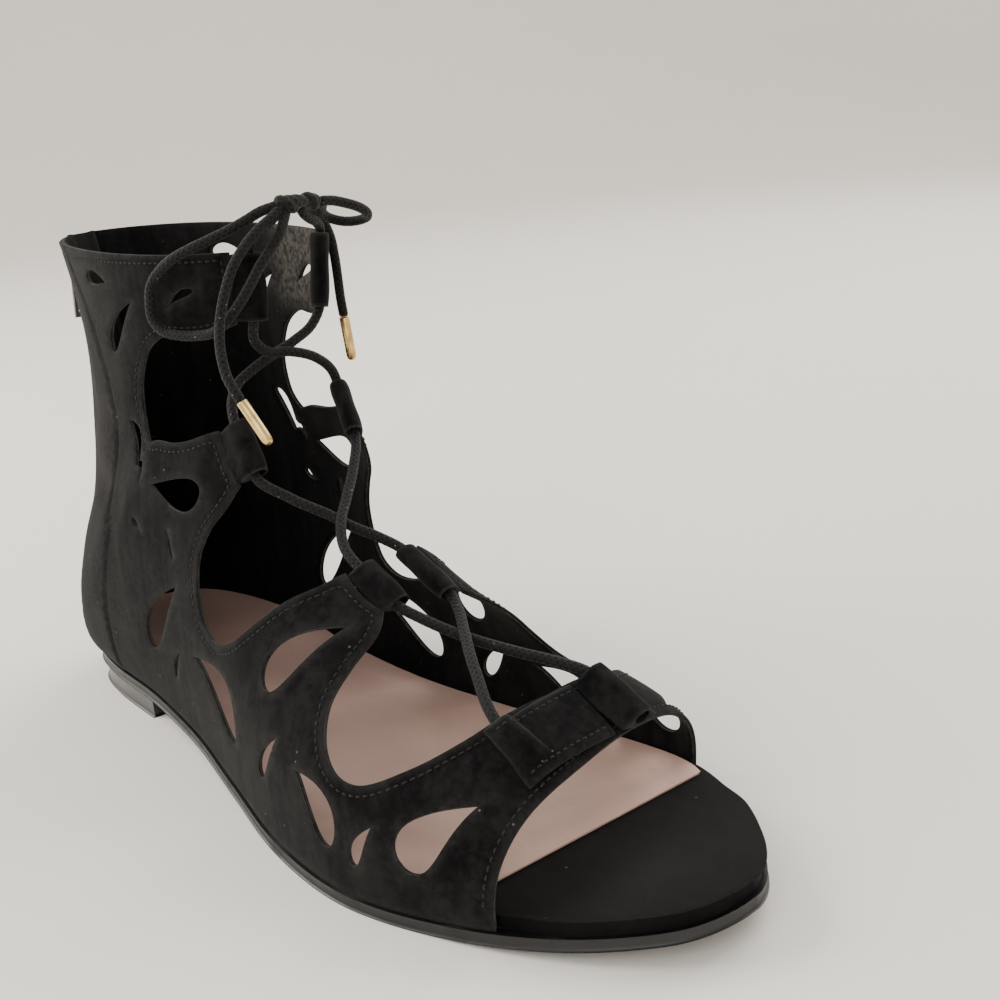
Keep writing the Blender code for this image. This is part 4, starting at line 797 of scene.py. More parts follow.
FINISHES = [
    Suede("suede", (0.0013, 0.0013, 0.0014), (0.0105, 0.0100, 0.0097), 0.95, 0.5),
    Suede("suede_edge", (0.014, 0.014, 0.014), (0.060, 0.057, 0.053), 0.85, 0.4),
    # suede_toe's paler rubbed colour paints a highlight on the middle of the toe, over rubbed nap
    Suede("suede_toe", (0.0010, 0.0010, 0.0011), (0.0034, 0.0034, 0.0034), 0.70, 0.35,
          rubbed=(0.016, 0.0155, 0.015), sheen=0.04, clear=0.7, brush=(0.3, 1.0, 1.0)),
    Suede("lining", (0.0020, 0.0020, 0.0022), (0.0085, 0.0080, 0.0078), 0.9, 0.35,
          dust=(0.05, 0.047, 0.043), rubbed=(0.085, 0.078, 0.066), clear=0.2),
    Rubber("rubber", (0.0028, 0.0028, 0.0030), (0.009, 0.0088, 0.0086), 0.42, 0.2, coat=0.08),
    Rubber("heel_rubber", (0.010, 0.010, 0.0105), (0.030, 0.029, 0.028), 0.32, 0.2, coat=0.3),
    Liner("liner", (0.56, 0.36, 0.29), (0.46, 0.295, 0.24), 0.55, 0.3),
    Braid("cord", (0.0012, 0.0012, 0.0013), (0.0110, 0.0105, 0.0100), 0.75, 0.8),
    Braid("thread", (0.010, 0.010, 0.010), (0.055, 0.053, 0.050), 0.6, 0.5),
    Metal("gold", (0.76, 0.54, 0.22), (0.42, 0.27, 0.10), 0.22, 0.3),
    Cloth("tape", (0.004, 0.004, 0.0042), (0.014, 0.014, 0.014), 0.85, 0.5),
    Metal("zip_metal", (0.11, 0.11, 0.115), (0.035, 0.035, 0.036), 0.36, 0.3),
    Metal("pull_metal", (0.17, 0.16, 0.155), (0.06, 0.055, 0.052), 0.30, 0.3),
    Plain("floor", (0.93, 0.895, 0.825), (0.90, 0.86, 0.785), 0.9, 0.15),
]


# The last and the pattern

@dataclass
class Last:
    """The form that the upper is made on, and the outline of the sole under it.

    A section is a curve from its base on the sole or the back line to the ridge. A place
    on the last is a stand, the section's place in the fan from the toe rim (0) to the
    collar (1), and a girth, the share of the way along the section.
    """

    length: float = 0.262
    ball_width: float = 0.088
    collar_height: float = 0.143
    heel_raise: float = 0.0072
    toe_spring: float = 0.0065
    outsole: float = 0.0032
    upper_inset: float = 0.0004
    samples: int = 40
    fan_count: int = 600

    def __post_init__(self) -> None:
        """Work out the sections' stands and the fan of lines between bases and ridges."""
        table = np.stack([column(SECTIONS, name) for name in Section._fields[3:]], axis=1)
        base_x = column(SECTIONS, "base_along") * self.length
        base_up = [self.seat_z(max(x, 0.0)) + GAP if row.base_up is None
                   else row.base_up * self.collar_height for x, row in zip(base_x, SECTIONS)]
        base = np.stack([base_x, np.array(base_up, float)], axis=1)
        wide = self.ball_width
        table = table * np.array([self.length, self.collar_height, wide, wide, 1, wide, 1, 1, 1])
        moved = np.linalg.norm(np.diff(base, axis=0), axis=1)
        moved += np.linalg.norm(np.diff(table[:, :2], axis=0), axis=1)
        stand = np.concatenate([[0], np.cumsum(moved)])
        self.stand = stand / stand[-1]
        self.table = np.concatenate([base, table], axis=1)
        self.fan = np.linspace(0, 1, self.fan_count)
        values = self.values(self.fan)[0]
        self.fan_base, self.fan_ridge = values[:, 0:2], values[:, 2:4]

    def edge_y(self, x: Array, side: Side) -> Array:
        """Edge of the outsole at x, read over an angle, so that both ends are round."""
        turn = np.arccos(np.clip(1 - 2 * column(OUTLINE, "along"), -1, 1))
        at = np.arccos(np.clip(1 - 2 * np.asarray(x, float) / self.length, -1, 1))
        return smooth(turn, column(OUTLINE, side.word), at) * self.ball_width

    def under_z(self, x: Array) -> Array:
        """Height of the outsole's underside."""
        share = np.clip(np.asarray(x, float) / self.length, 0, 1)
        at = column(UNDER, "along")
        heel = smooth(at, column(UNDER, "heel"), share, level=True) * self.heel_raise
        return heel + smooth(at, column(UNDER, "toe"), share, level=True) * self.toe_spring

    def seat_z(self, x: Array) -> Array:
        """Top of the outsole."""
        return self.under_z(x) + self.outsole

    def values(self, stand: Array) -> tuple[Array, dict]:
        """Base, ridge and shape of the section at each stand, and its foot on the edge."""
        stand = np.atleast_1d(np.asarray(stand, float))
        values = np.stack([smooth(self.stand, self.table[:, k], stand)
                           for k in range(self.table.shape[1])], axis=-1)
        on_sole = stand <= self.stand[LAST_ON_SOLE]
        x = np.clip(values[:, 0], 0, self.length)
        values[:, 1] = np.where(on_sole, self.seat_z(x) + GAP, values[:, 1])
        foot = {}
        for side in Side:
            edge = self.edge_y(x, side)
            held = side.value * np.maximum(side.value * edge - self.upper_inset, 0)
            foot[side] = np.where(on_sole, held, 0.0)
        return values, foot

    def lines(self, stand: Array, side: Side) -> tuple:
        """Each section as a polyline.

        Below its widest level a section is a sine from its foot, and above it a
        superellipse with its own power.

        Args:
            stand: Stands of the sections.
            side: Side of the shoe.

        Returns:
            Base, ridge, share of the way up, y and length along, of each section's points.
        """
        values, foot = self.values(stand)
        base, ridge = values[:, 0:2], values[:, 2:4]
        wide, power = (values[:, 4:5], values[:, 8:9])
        if side is Side.MEDIAL:
            wide, power = (values[:, 5:6], values[:, 9:10])
        widest, ridge_y, closed = values[:, 6:7], values[:, 7:8], values[:, 10:11]
        foot_y = foot[side][:, None]
        t = np.linspace(0, 1, self.samples)[None, :]
        angle = t * math.pi / 2
        low = widest * ((1 - closed) * t + closed * (1 - np.cos(angle)))
        low_y = foot_y + (wide - foot_y) * np.sin(angle)
        high = widest + (1 - widest) * np.sin(angle) ** (2 / power)
        high_y = ridge_y + (wide - ridge_y) * np.clip(np.cos(angle), 0, 1) ** (2 / power)
        up = np.concatenate([low, high[:, 1:]], axis=1)
        y = np.concatenate([low_y, high_y[:, 1:]], axis=1)
        reach = np.linalg.norm(ridge - base, axis=1)[:, None]
        pieces = np.hypot(np.diff(up, axis=1) * reach, np.diff(y, axis=1))
        along = np.concatenate([np.zeros((len(values), 1)), np.cumsum(pieces, axis=1)], axis=1)
        return base, ridge, up, y, along

    def place(self, stand: Array, girth: Array, side: Side) -> Array:
        """Points of the last's surface at stands and girths."""
        stand = np.atleast_1d(np.asarray(stand, float))
        girth = np.broadcast_to(np.asarray(girth, float), stand.shape)
        base, ridge, up, y, along = self.lines(stand, side)
        target = girth * along[:, -1]
        i = np.clip((along < target[:, None]).sum(axis=1) - 1, 0, along.shape[1] - 2)
        row = np.arange(len(stand))
        t = (target - along[row, i]) / np.maximum(along[row, i + 1] - along[row, i], 1e-12)
        at_up = up[row, i] + t * (up[row, i + 1] - up[row, i])
        at_y = y[row, i] + t * (y[row, i + 1] - y[row, i])
        place = base + at_up[:, None] * (ridge - base)
        return np.stack([place[:, 0], at_y, place[:, 1]], axis=1)

    def girth_length(self, stand: Array, side: Side) -> Array:
        """Length of each section from its base to the ridge."""
        return self.lines(stand, side)[4][:, -1]

    def view(self, stand: Array, girth: Array) -> Array:
        """Places in the side view of stands and girths."""
        values = self.values(stand)[0]
        base, ridge = values[:, 0:2], values[:, 2:4]
        return base + np.reshape(girth, (-1, 1)) * (ridge - base)

    def find(self, places: Array, chunk: int = 2500) -> tuple[Array, Array]:
        """Stands and girths of places in the side view: the fan line through each.

        Args:
            places: Places in the side view.
            chunk: How many are worked out at a time.

        Returns:
            Their stands and their girths.
        """
        places = np.atleast_2d(places)
        found = [self._find(places[i:i + chunk]) for i in range(0, len(places), chunk)]
        return tuple(np.concatenate(part) for part in zip(*found))

    def _find(self, places: Array) -> tuple[Array, Array]:
        """One part of the places of find."""
        way = self.fan_ridge - self.fan_base
        to = places[:, None, :] - self.fan_base[None]
        side_of = to[..., 0] * way[None, :, 1] - to[..., 1] * way[None, :, 0]
        crossed = side_of[:, :-1] * side_of[:, 1:] <= 0
        i = np.where(crossed.any(axis=1), crossed.argmax(axis=1), np.abs(side_of).argmin(axis=1))
        i = np.clip(i, 0, len(self.fan) - 2)
        row = np.arange(len(places))
        first, second = side_of[row, i], side_of[row, i + 1]
        t = np.clip(first / np.where(first == second, 1, first - second), 0, 1)
        stand = self.fan[i] + t * (self.fan[i + 1] - self.fan[i])
        base = self.fan_base[i] + t[:, None] * (self.fan_base[i + 1] - self.fan_base[i])
        ridge = self.fan_ridge[i] + t[:, None] * (self.fan_ridge[i + 1] - self.fan_ridge[i])
        line = ridge - base
        girth = ((places - base) * line).sum(axis=1) / (line ** 2).sum(axis=1)
        return stand, np.clip(girth, 0, 1)

    def on(self, places: Array, side: Side) -> Array:
        """Points of the last at places in the side view."""
        return self.place(*self.find(places), side)

    def shares(self, shares: Sequence) -> Array:
        """Places in the side view from shares of the length and of the collar's height."""
        return np.asarray(shares, float) * [self.length, self.collar_height]

    def slopes(self, places: Array, side: Side, step: float = 0.0004) -> Array:
        """How the point on the last moves with the two directions of the side view."""
        moved = [self.on(places + np.array(d) * step, side) - self.on(places - np.array(d) * step, side)
                 for d in ((1, 0), (0, 1))]
        return np.stack(moved, axis=-1) / (2 * step)

    def outward(self, places: Array, side: Side) -> Array:
        """Outward direction of the last's surface at places in the side view."""
        slopes = self.slopes(places, side)
        return unit(np.cross(slopes[..., 0], slopes[..., 1]) * -side.value)

    def stand_of_foot(self, along: float) -> float:
        """Stand of the section whose base is at this share of the length on the sole."""
        sole = self.fan <= self.stand[LAST_ON_SOLE]
        return float(np.interp(-along * self.length, -self.fan_base[sole, 0], self.fan[sole]))

    def stand_of_ridge(self, along: float) -> float:
        """Stand of the section whose ridge is at this share of the length."""
        ahead = self.fan <= self.stand[6]
        return float(np.interp(-along * self.length, -self.fan_ridge[ahead, 0], self.fan[ahead]))

    def stand_of_back(self, up: float) -> float:
        """Stand of the section whose base is at this share of the height on the back line."""
        back = self.fan >= self.stand[LAST_ON_SOLE]
        return float(np.interp(up * self.collar_height, self.fan_base[back, 1], self.fan[back]))


@dataclass
class Pattern:
    """Outlines, cut-outs and stitch rows of one side of the upper, in the side view."""

    last: Last
    side: Side
    step: float = 0.0013
    slot_half: float = 0.0038
    slot_foot_up: float = 0.24
    row_in: float = 0.0023
    drop_sharpness: float = 1.3

    def run(self, start: float, finish: float, girth: float) -> Array:
        """Stands from start to finish, evenly spaced on the last along one girth."""
        fine = np.linspace(start, finish, 400)
        along = lengths(self.last.place(fine, girth, self.side))
        return np.interp(np.linspace(0, along[-1], round(along[-1] / self.step) + 1), along, fine)

    def throat(self) -> Array:
        """Back edge of the lacing, from the collar's top down to the toe strap's ridge."""
        last = self.last
        corner = {seam.name: last.shares([(seam.upper_along, seam.upper_up),
                                          (seam.lower_along, seam.lower_up)])
                  for seam in SEAMS[self.side]}
        strap_back = last.view(last.stand_of_ridge(STRAP_BACK_ALONG), 1.0)[0]
        stops = [
            (corner["collar"][1], "ankle", corner["ankle"][0]),
            (corner["ankle"][1], "instep", corner["instep"][0]),
            (corner["instep"][1], "forefoot", strap_back),
        ]
        places = []
        for seam, (start, bay, finish) in zip(SEAMS[self.side], stops):
            places.append(curve_through(corner[seam.name], self.step)[:-1])
            bend = np.concatenate([[start], last.shares(BAYS[bay]), [finish]])
            places.append(curve_through(bend, self.step)[:-1])
        return np.concatenate(places)

    def front(self) -> Array:
        """Front edge of the toe strap, from the ridge to the sole."""
        last = self.last
        top = last.view(last.stand_of_ridge(STRAP_FRONT_ALONG), 1.0)[0]
        foot = last.view(last.stand_of_foot(FRONT_FOOT_ALONG[self.side]), 0.0)[0]
        edge = last.shares(FRONT_EDGE[self.side])
        return curve_through(np.concatenate([[top], edge, [foot]]), self.step)

    def outline(self) -> Array:
        """Closed outline of the side as stands and girths."""
        last = self.last
        foot = last.stand_of_foot(FRONT_FOOT_ALONG[self.side])
        seat, slot = last.stand[LAST_ON_SOLE], last.stand_of_back(self.slot_foot_up)
        along_sole = self.run(foot, seat, 0.0)
        up_back = self.run(seat, slot, 0.0)
        up_slot = self.run(slot, 1.0, 0.0)
        beside = self.slot_half / last.girth_length(up_slot, self.side)
        throat = np.stack(last.find(self.throat()), axis=1)
        throat[0, 0] = 1.0
        wide = last.girth_length(1.0, self.side)[0] * (throat[0, 1] - beside[-1])
        collar = np.linspace(beside[-1], throat[0, 1], round(wide / self.step) + 1)[1:-1]
        ridge = self.run(last.stand_of_ridge(STRAP_BACK_ALONG),
                         last.stand_of_ridge(STRAP_FRONT_ALONG), 1.0)
        return np.concatenate([
            np.stack([along_sole, np.zeros(len(along_sole))], axis=1),
            np.stack([up_back[1:], np.zeros(len(up_back) - 1)], axis=1),
            np.stack([up_slot, beside], axis=1),
            np.stack([np.ones(len(collar)), collar], axis=1),
            throat,
            np.stack([ridge, np.ones(len(ridge))], axis=1),
            np.stack(last.find(self.front()[1:-1]), axis=1),
        ])

    def drop(self, drop: Drop) -> Array:
        """Teardrop: x = cos a, y = sin a * sin(a/2)^k, laid from its point to its round end."""
        last = self.last
        point, end = last.shares([(drop.point_along, drop.point_up),
                                  (drop.round_along, drop.round_up)])
        middle = (point + end) / 2
        small = 0.001
        around = last.on(np.array([middle, middle + [small, 0], middle + [0, small]]), self.side)
        scale = np.linalg.norm(around[1:] - around[0], axis=1) / small
        axis = (point - end) / 2 * scale
        half = np.linalg.norm(axis)
        axis /= half
        across = np.array([-axis[1], axis[0]])
        width = drop.half_width * last.length
        count = max(16, round((4 * half + math.pi * width) / self.step))
        angle = np.arange(count) * 2 * math.pi / count
        x = np.cos(angle)
        y = np.sin(angle) * np.sin(angle / 2) ** self.drop_sharpness
        y = y / np.abs(y).max() * width + drop.bend * half * (1 - x ** 2)
        return middle + (half * x[:, None] * axis + y[:, None] * across) / scale

    def offset(self, places: Array, distance: float) -> Array:
        """The line at a real distance beside a line of the side view.

        With J the slopes, M = J'J and n the normal in the side view, the step that is
        square to the line on the last is along M^-1 n, and its real length is
        sqrt(n M^-1 n). A positive distance lies to the line's left.

        Args:
            places: The line.
            distance: Metres on the last.

        Returns:
            The new line.
        """
        way = np.gradient(places, axis=0)
        normal = unit(np.stack([-way[:, 1], way[:, 0]], axis=1))
        slopes = self.last.slopes(places + normal * math.copysign(0.001, distance), self.side)
        metric = np.einsum("nij,nik->njk", slopes, slopes)
        moved = np.einsum("njk,nk->nj", np.linalg.inv(metric), normal)
        size = np.sqrt((normal * moved).sum(axis=1))
        return places + moved / size[:, None] * distance

    def row(self, edge: Array, distance: float) -> Array:
        """A stitch row beside an edge, without the parts that come nearer to it elsewhere."""
        row = self.offset(edge, -distance)
        points = self.last.on(row, self.side)
        kept = nearest(points, self.last.on(evenly(edge, 0.0004), self.side)) > 0.93 * distance
        return evenly(row[kept], self.step)

    def rows(self) -> dict[str, Array]:
        """All the stitch rows and seams of the side."""
        last = self.last
        slot = self.run(last.stand_of_back(self.slot_foot_up + 0.02), 0.985, 0.0)
        beside = (self.slot_half + self.row_in) / last.girth_length(slot, self.side)
        throat = self.throat()
        top = last.find(throat[:1])[1][0]
        wide = last.girth_length(1.0, self.side)[0]
        girth = np.linspace((self.slot_half + self.row_in) / wide, top - self.row_in / wide, 60)
        collar = last.view(np.ones(60), girth)
        collar = collar - [0, self.row_in]
        return {
            "throat": self.row(throat, self.row_in),
            "front": self.row(self.front()[2:-2], self.row_in),
            "zip": last.view(slot, beside),
            "collar": evenly(collar, self.step),
            "back_stay": evenly(curve_through(last.shares(BACK_STAY), self.step), self.step),
        }


@dataclass
class Upper:
    """The suede upper with its lining: two sides joined at the back and on the toe strap."""

    last: Last
    wall: float = 0.0014
    cell: float = 0.0027
    girth_stretch: float = 1.6
    groove_half: float = 0.0007
    groove_width: float = 0.00042
    groove_depth: float = 0.00022
    stay_rise: float = 0.00035

    # The rim's profile in mm: out of the cut edge and down through the wall
    RIM = [(0.0, 0.0), (0.20, 0.10), (0.28, 0.36), (0.20, 0.64), (0.0, 0.76), (0.16, 0.86),
           (0.20, 1.04), (0.12, 1.26), (0.0, 1.40)]
    RIM_FINISH = [0, 2, 0, 0, 2, 2, 1, 1]

    def side_mesh(self, pattern: Pattern) -> tuple:
        """Points and triangles of one side's outer face, with what lies on them.

        Args:
            pattern: The side's pattern.

        Returns:
            Points, triangles, places in the side view and distances to the cut edges.
        """
        outline = pattern.outline()
        loops = [self.last.view(outline[:, 0], outline[:, 1])]
        loops += [pattern.drop(drop) for drop in DROPS]
        flat = np.array([1.0, self.girth_stretch])
        seams = [pattern.offset(row, d) for row in pattern.rows().values()
                 for d in (-self.groove_half, self.groove_half)]
        seams = np.concatenate(seams + list(pattern.rows().values())) * flat
        loops = [loop * flat for loop in loops]
        low, high = loops[0].min(axis=0), loops[0].max(axis=0)
        across, up = np.meshgrid(np.arange(low[0], high[0], self.cell),
                                 np.arange(low[1], high[1], self.cell * math.sqrt(3) / 2))
        across[1::2] += self.cell / 2
        grid = np.stack([across.ravel(), up.ravel()], axis=1)
        edges = np.concatenate([evenly(np.vstack([loop, loop[:1]]), 0.0005) for loop in loops])

        def in_leather(places: Array) -> Array:
            """Whether each place lies on the pattern and in none of its holes."""
            kept = inside(places, loops[0])
            for loop in loops[1:]:
                kept &= ~inside(places, loop)
            return kept

        seams = seams[in_leather(seams) & (nearest(seams, edges) > 0.0006)]
        kept = in_leather(grid) & (nearest(grid, edges) > 0.5 * self.cell)
        kept &= nearest(grid, seams) > 0.4 * self.cell
        places = np.concatenate(loops + [seams, grid[kept]])
        borders = []
        first = 0
        for loop in loops:
            borders += [(first + k, first + (k + 1) % len(loop)) for k in range(len(loop))]
            first += len(loop)
        found = delaunay_2d_cdt([Vector(p) for p in places], borders, [], 0, 1e-9)
        places = np.array([tuple(v) for v in found[0]])
        triangles = np.array([f for f in found[2] if len(f) == 3])
        triangles = triangles[in_leather(places[triangles].mean(axis=1))]
        stand, girth = self.last.find(places / flat)
        source = np.array([ids[0] if ids else -1 for ids in found[3]])
        border = (source >= 0) & (source < len(outline))
        stand[border], girth[border] = outline[source[border]].T
        points = self.last.place(stand, girth, pattern.side)
        corner = points[triangles]
        normal = np.cross(corner[:, 1] - corner[:, 0], corner[:, 2] - corner[:, 0])
        if (normal[:, 1] * pattern.side.value).sum() < 0:
            triangles = triangles[:, ::-1]
        return points, triangles, places / flat, nearest(places, edges)

    def creases(self, places: Array, side: Side) -> Array:
        """Depth of the soft creases: a bell across each line, fading at its ends."""
        depth = np.zeros(len(places))
        for crease in CREASES:
            if crease.side != side.value:
                continue
            a, b = self.last.shares([(crease.from_along, crease.from_up),
                                     (crease.to_along, crease.to_up)])
            way = b - a
            t = ((places - a) @ way) / (way @ way)
            far = np.linalg.norm(places - a - np.clip(t, 0, 1)[:, None] * way, axis=1)
            bow = np.clip(1 - (2 * t - 1) ** 2, 0, 1) ** 0.6
            off = far / (crease.half_width * 1e-3)
            trough, ridge = np.exp(-off ** 2), np.exp(-((off - 1.9) / 0.8) ** 2)
            depth -= crease.depth * 1e-3 * bow * (trough - 0.35 * ridge)
        return depth

    def build(self, finish: dict) -> list[tuple[Array, Array]]:
        """Build the upper and report its stitch rows.

        Args:
            finish: Materials by name.

        Returns:
            Points and outward directions of each stitch row.
        """
        points, triangles, soft, edge, grooves, behind, rows = [], [], [], [], [], [], []
        count = 0
        for side in Side:
            pattern = Pattern(self.last, side)
            side_points, faces, places, near = self.side_mesh(pattern)
            seams = pattern.rows()
            seam_points = [self.last.on(evenly(row, 0.0004), side) for row in seams.values()]
            far = nearest(side_points, np.concatenate(seam_points))
            stay = curve_through(self.last.shares(BACK_STAY), pattern.step)
            ahead = places[:, 0] - np.interp(places[:, 1], stay[::-1, 1], stay[::-1, 0])
            points.append(side_points)
            triangles.append(faces + count)
            count += len(side_points)
            soft.append(self.creases(places, side))
            edge.append(near)
            grooves.append(-self.groove_depth * np.exp(-(far / self.groove_width) ** 2))
            behind.append(self.stay_rise * (1 - ease(ahead, -0.0006, 0.0003)))
            for word, row in seams.items():
                if word != "back_stay":
                    rows.append((self.last.on(row, side), self.last.outward(row, side)))
        points, triangles = np.concatenate(points), np.concatenate(triangles)
        soft, edge = np.concatenate(soft), np.concatenate(edge)
        relief = np.concatenate(grooves) + np.concatenate(behind)
        points, triangles, (soft, edge, relief) = self.join(points, triangles, [soft, edge, relief])
        normals = self.normals(points, triangles)
        points = points + normals * soft[:, None]
        vertices, faces, picks, ids = self.shell(points, normals, triangles, relief)
        height = points[:, 2] / self.last.collar_height
        # Painted light: the suede is paler towards the back of the heel and above the sole, where light
        # falls from behind; the cut edges are paler from real wear
        painted_heel_light = 0.45 * (1 - ease(points[:, 0], 0.020, 0.085)) * ease(height, 0.10, 0.25)
        wear = np.maximum(np.exp(-edge / 0.0011) * 0.5, painted_heel_light)
        inner = 0.9 * ease(points[:, 0], 0.055, 0.070) * ease(height, 0.80, 0.88)
        wear = np.concatenate([wear, inner, np.tile(wear[ids], len(self.RIM) - 2)])
        make_piece("upper_suede", vertices, faces,
                   [finish["suede"], finish["lining"], finish["suede_edge"]],
                   ["upper"], picks=picks, masks={"wear": wear})
        return rows

    def join(self, points: Array, triangles: Array, values: list[Array]) -> tuple:
        """Join the two sides where they meet.

        Args:
            points: Points of both sides.
            triangles: Triangles of both sides.
            values: Values of each point.

        Returns:
            The points left, the triangles on them and the values left.
        """
        rounded = np.round(points / 2e-5).astype(np.int64)
        _, first, same = np.unique(rounded, axis=0, return_index=True, return_inverse=True)
        triangles = same.ravel()[triangles]
        used, fitted = np.unique(triangles, return_inverse=True)
        return points[first][used], fitted.reshape(-1, 3), [v[first][used] for v in values]

    def normals(self, points: Array, triangles: Array) -> Array:
        """Outward direction at each point: the mean of its triangles, by their size."""
        corner = points[triangles]
        face = np.cross(corner[:, 1] - corner[:, 0], corner[:, 2] - corner[:, 0])
        total = np.zeros_like(points)
        for k in range(3):
            np.add.at(total, triangles[:, k], face)
        return unit(total)

    def shell(self, points: Array, normals: Array, triangles: Array, relief: Array) -> tuple:
        """Outer face, lining and the shaped rim between them.

        Args:
            points: Points of the outer face without its fine relief.
            normals: Their outward directions.
            triangles: Triangles of the outer face.
            relief: Height of the fine relief at each point.

        Returns:
            Points, faces, the finish of each face and the points that lie on cut edges.
        """
        count = len(points)
        edges = np.concatenate([triangles[:, [0, 1]], triangles[:, [1, 2]], triangles[:, [2, 0]]])
        low_high = np.sort(edges, axis=1)
        _, first, times = np.unique(low_high[:, 0] * count + low_high[:, 1],
                                    return_index=True, return_counts=True)
        rim = edges[first[times == 1]]
        ids = np.unique(rim)
        where = np.full(count, -1)
        where[ids] = np.arange(len(ids))
        way = unit(points[rim[:, 1]] - points[rim[:, 0]])
        out = np.zeros_like(points)
        for k in (0, 1):
            np.add.at(out, rim[:, k], np.cross(way, normals[rim[:, k]]))
        out = unit(out[ids])
        outer = points + normals * relief[:, None]
        rings = [points[ids] + out * b * 1e-3 - normals[ids] * d * 1e-3
                 for b, d in self.RIM[1:-1]]
        vertices = np.concatenate([outer, points - normals * self.wall] + rings)
        levels = [lambda v: v]
        levels += [lambda v, k=k: 2 * count + k * len(ids) + where[v] for k in range(len(rings))]
        levels += [lambda v: v + count]
        faces = triangles.tolist() + (triangles[:, ::-1] + count).tolist()
        picks = [0] * len(triangles) + [1] * len(triangles)
        a, b = rim[:, 0], rim[:, 1]
        for pick, upper, lower in zip(self.RIM_FINISH, levels[:-1], levels[1:]):
            faces += np.stack([upper(b), upper(a), lower(a), lower(b)], axis=1).tolist()
            picks += [pick] * len(rim)
        return vertices, faces, np.array(picks), ids


# Stitches

def stitch_mesh(rows: list[tuple[Array, Array]], pitch: float = 0.0021, length: float = 0.00145,
                radius: float = 0.00024, rings: int = 6, sides: int = 6) -> tuple[Array, list]:
    """Thread stitches along rows: centre(t) = a + (b - a) t + n (lift sin(pi t) - sink).

    Args:
        rows: Points and outward directions of each row.
        pitch: Distance between the starts of stitches.
        length: Length of a stitch.
        radius: Radius of the thread.
        rings: Rings of each stitch.
        sides: Points of each ring.

    Returns:
        Points and faces of all the stitches.
    """
    starts, ends, normals = [], [], []
    for points, outward in rows:
        along = lengths(points)
        at = np.arange(pitch / 2, along[-1] - length, pitch)
        for held, shift in ((starts, 0.0), (ends, length)):
            held.append(np.stack([np.interp(at + shift, along, points[:, k]) for k in range(3)],
                                 axis=1))
        normals.append(np.stack([np.interp(at, along, outward[:, k]) for k in range(3)], axis=1))
    start, end, normal = (np.concatenate(part) for part in (starts, ends, normals))
    way = unit(end - start)
    across = unit(np.cross(way, normal))
    t = np.linspace(0, 1, rings)
    angle = np.arange(sides) * 2 * math.pi / sides
    lift = radius * (1.1 * np.sin(math.pi * t) - 0.75)
    wide = radius * np.sqrt(np.clip(1.02 - (2 * t - 1) ** 4, 0.02, 1))
    centre = start[:, None] + (end - start)[:, None] * t[None, :, None]
    centre = centre + normal[:, None] * lift[None, :, None]
    ring = (np.cos(angle)[None, None, :, None] * across[:, None, None]
            + np.sin(angle)[None, None, :, None] * normal[:, None, None])
    points = centre[:, :, None] + ring * wide[None, :, None, None]
    one = grid_faces(rings, sides).tolist()
    one += [list(range(sides))[::-1], list(range((rings - 1) * sides, rings * sides))]
    size = rings * sides
    faces = [[v + k * size for v in face] for k in range(len(start)) for face in one]
    return points.reshape(-1, 3), faces


# Tunnels and toe bridge

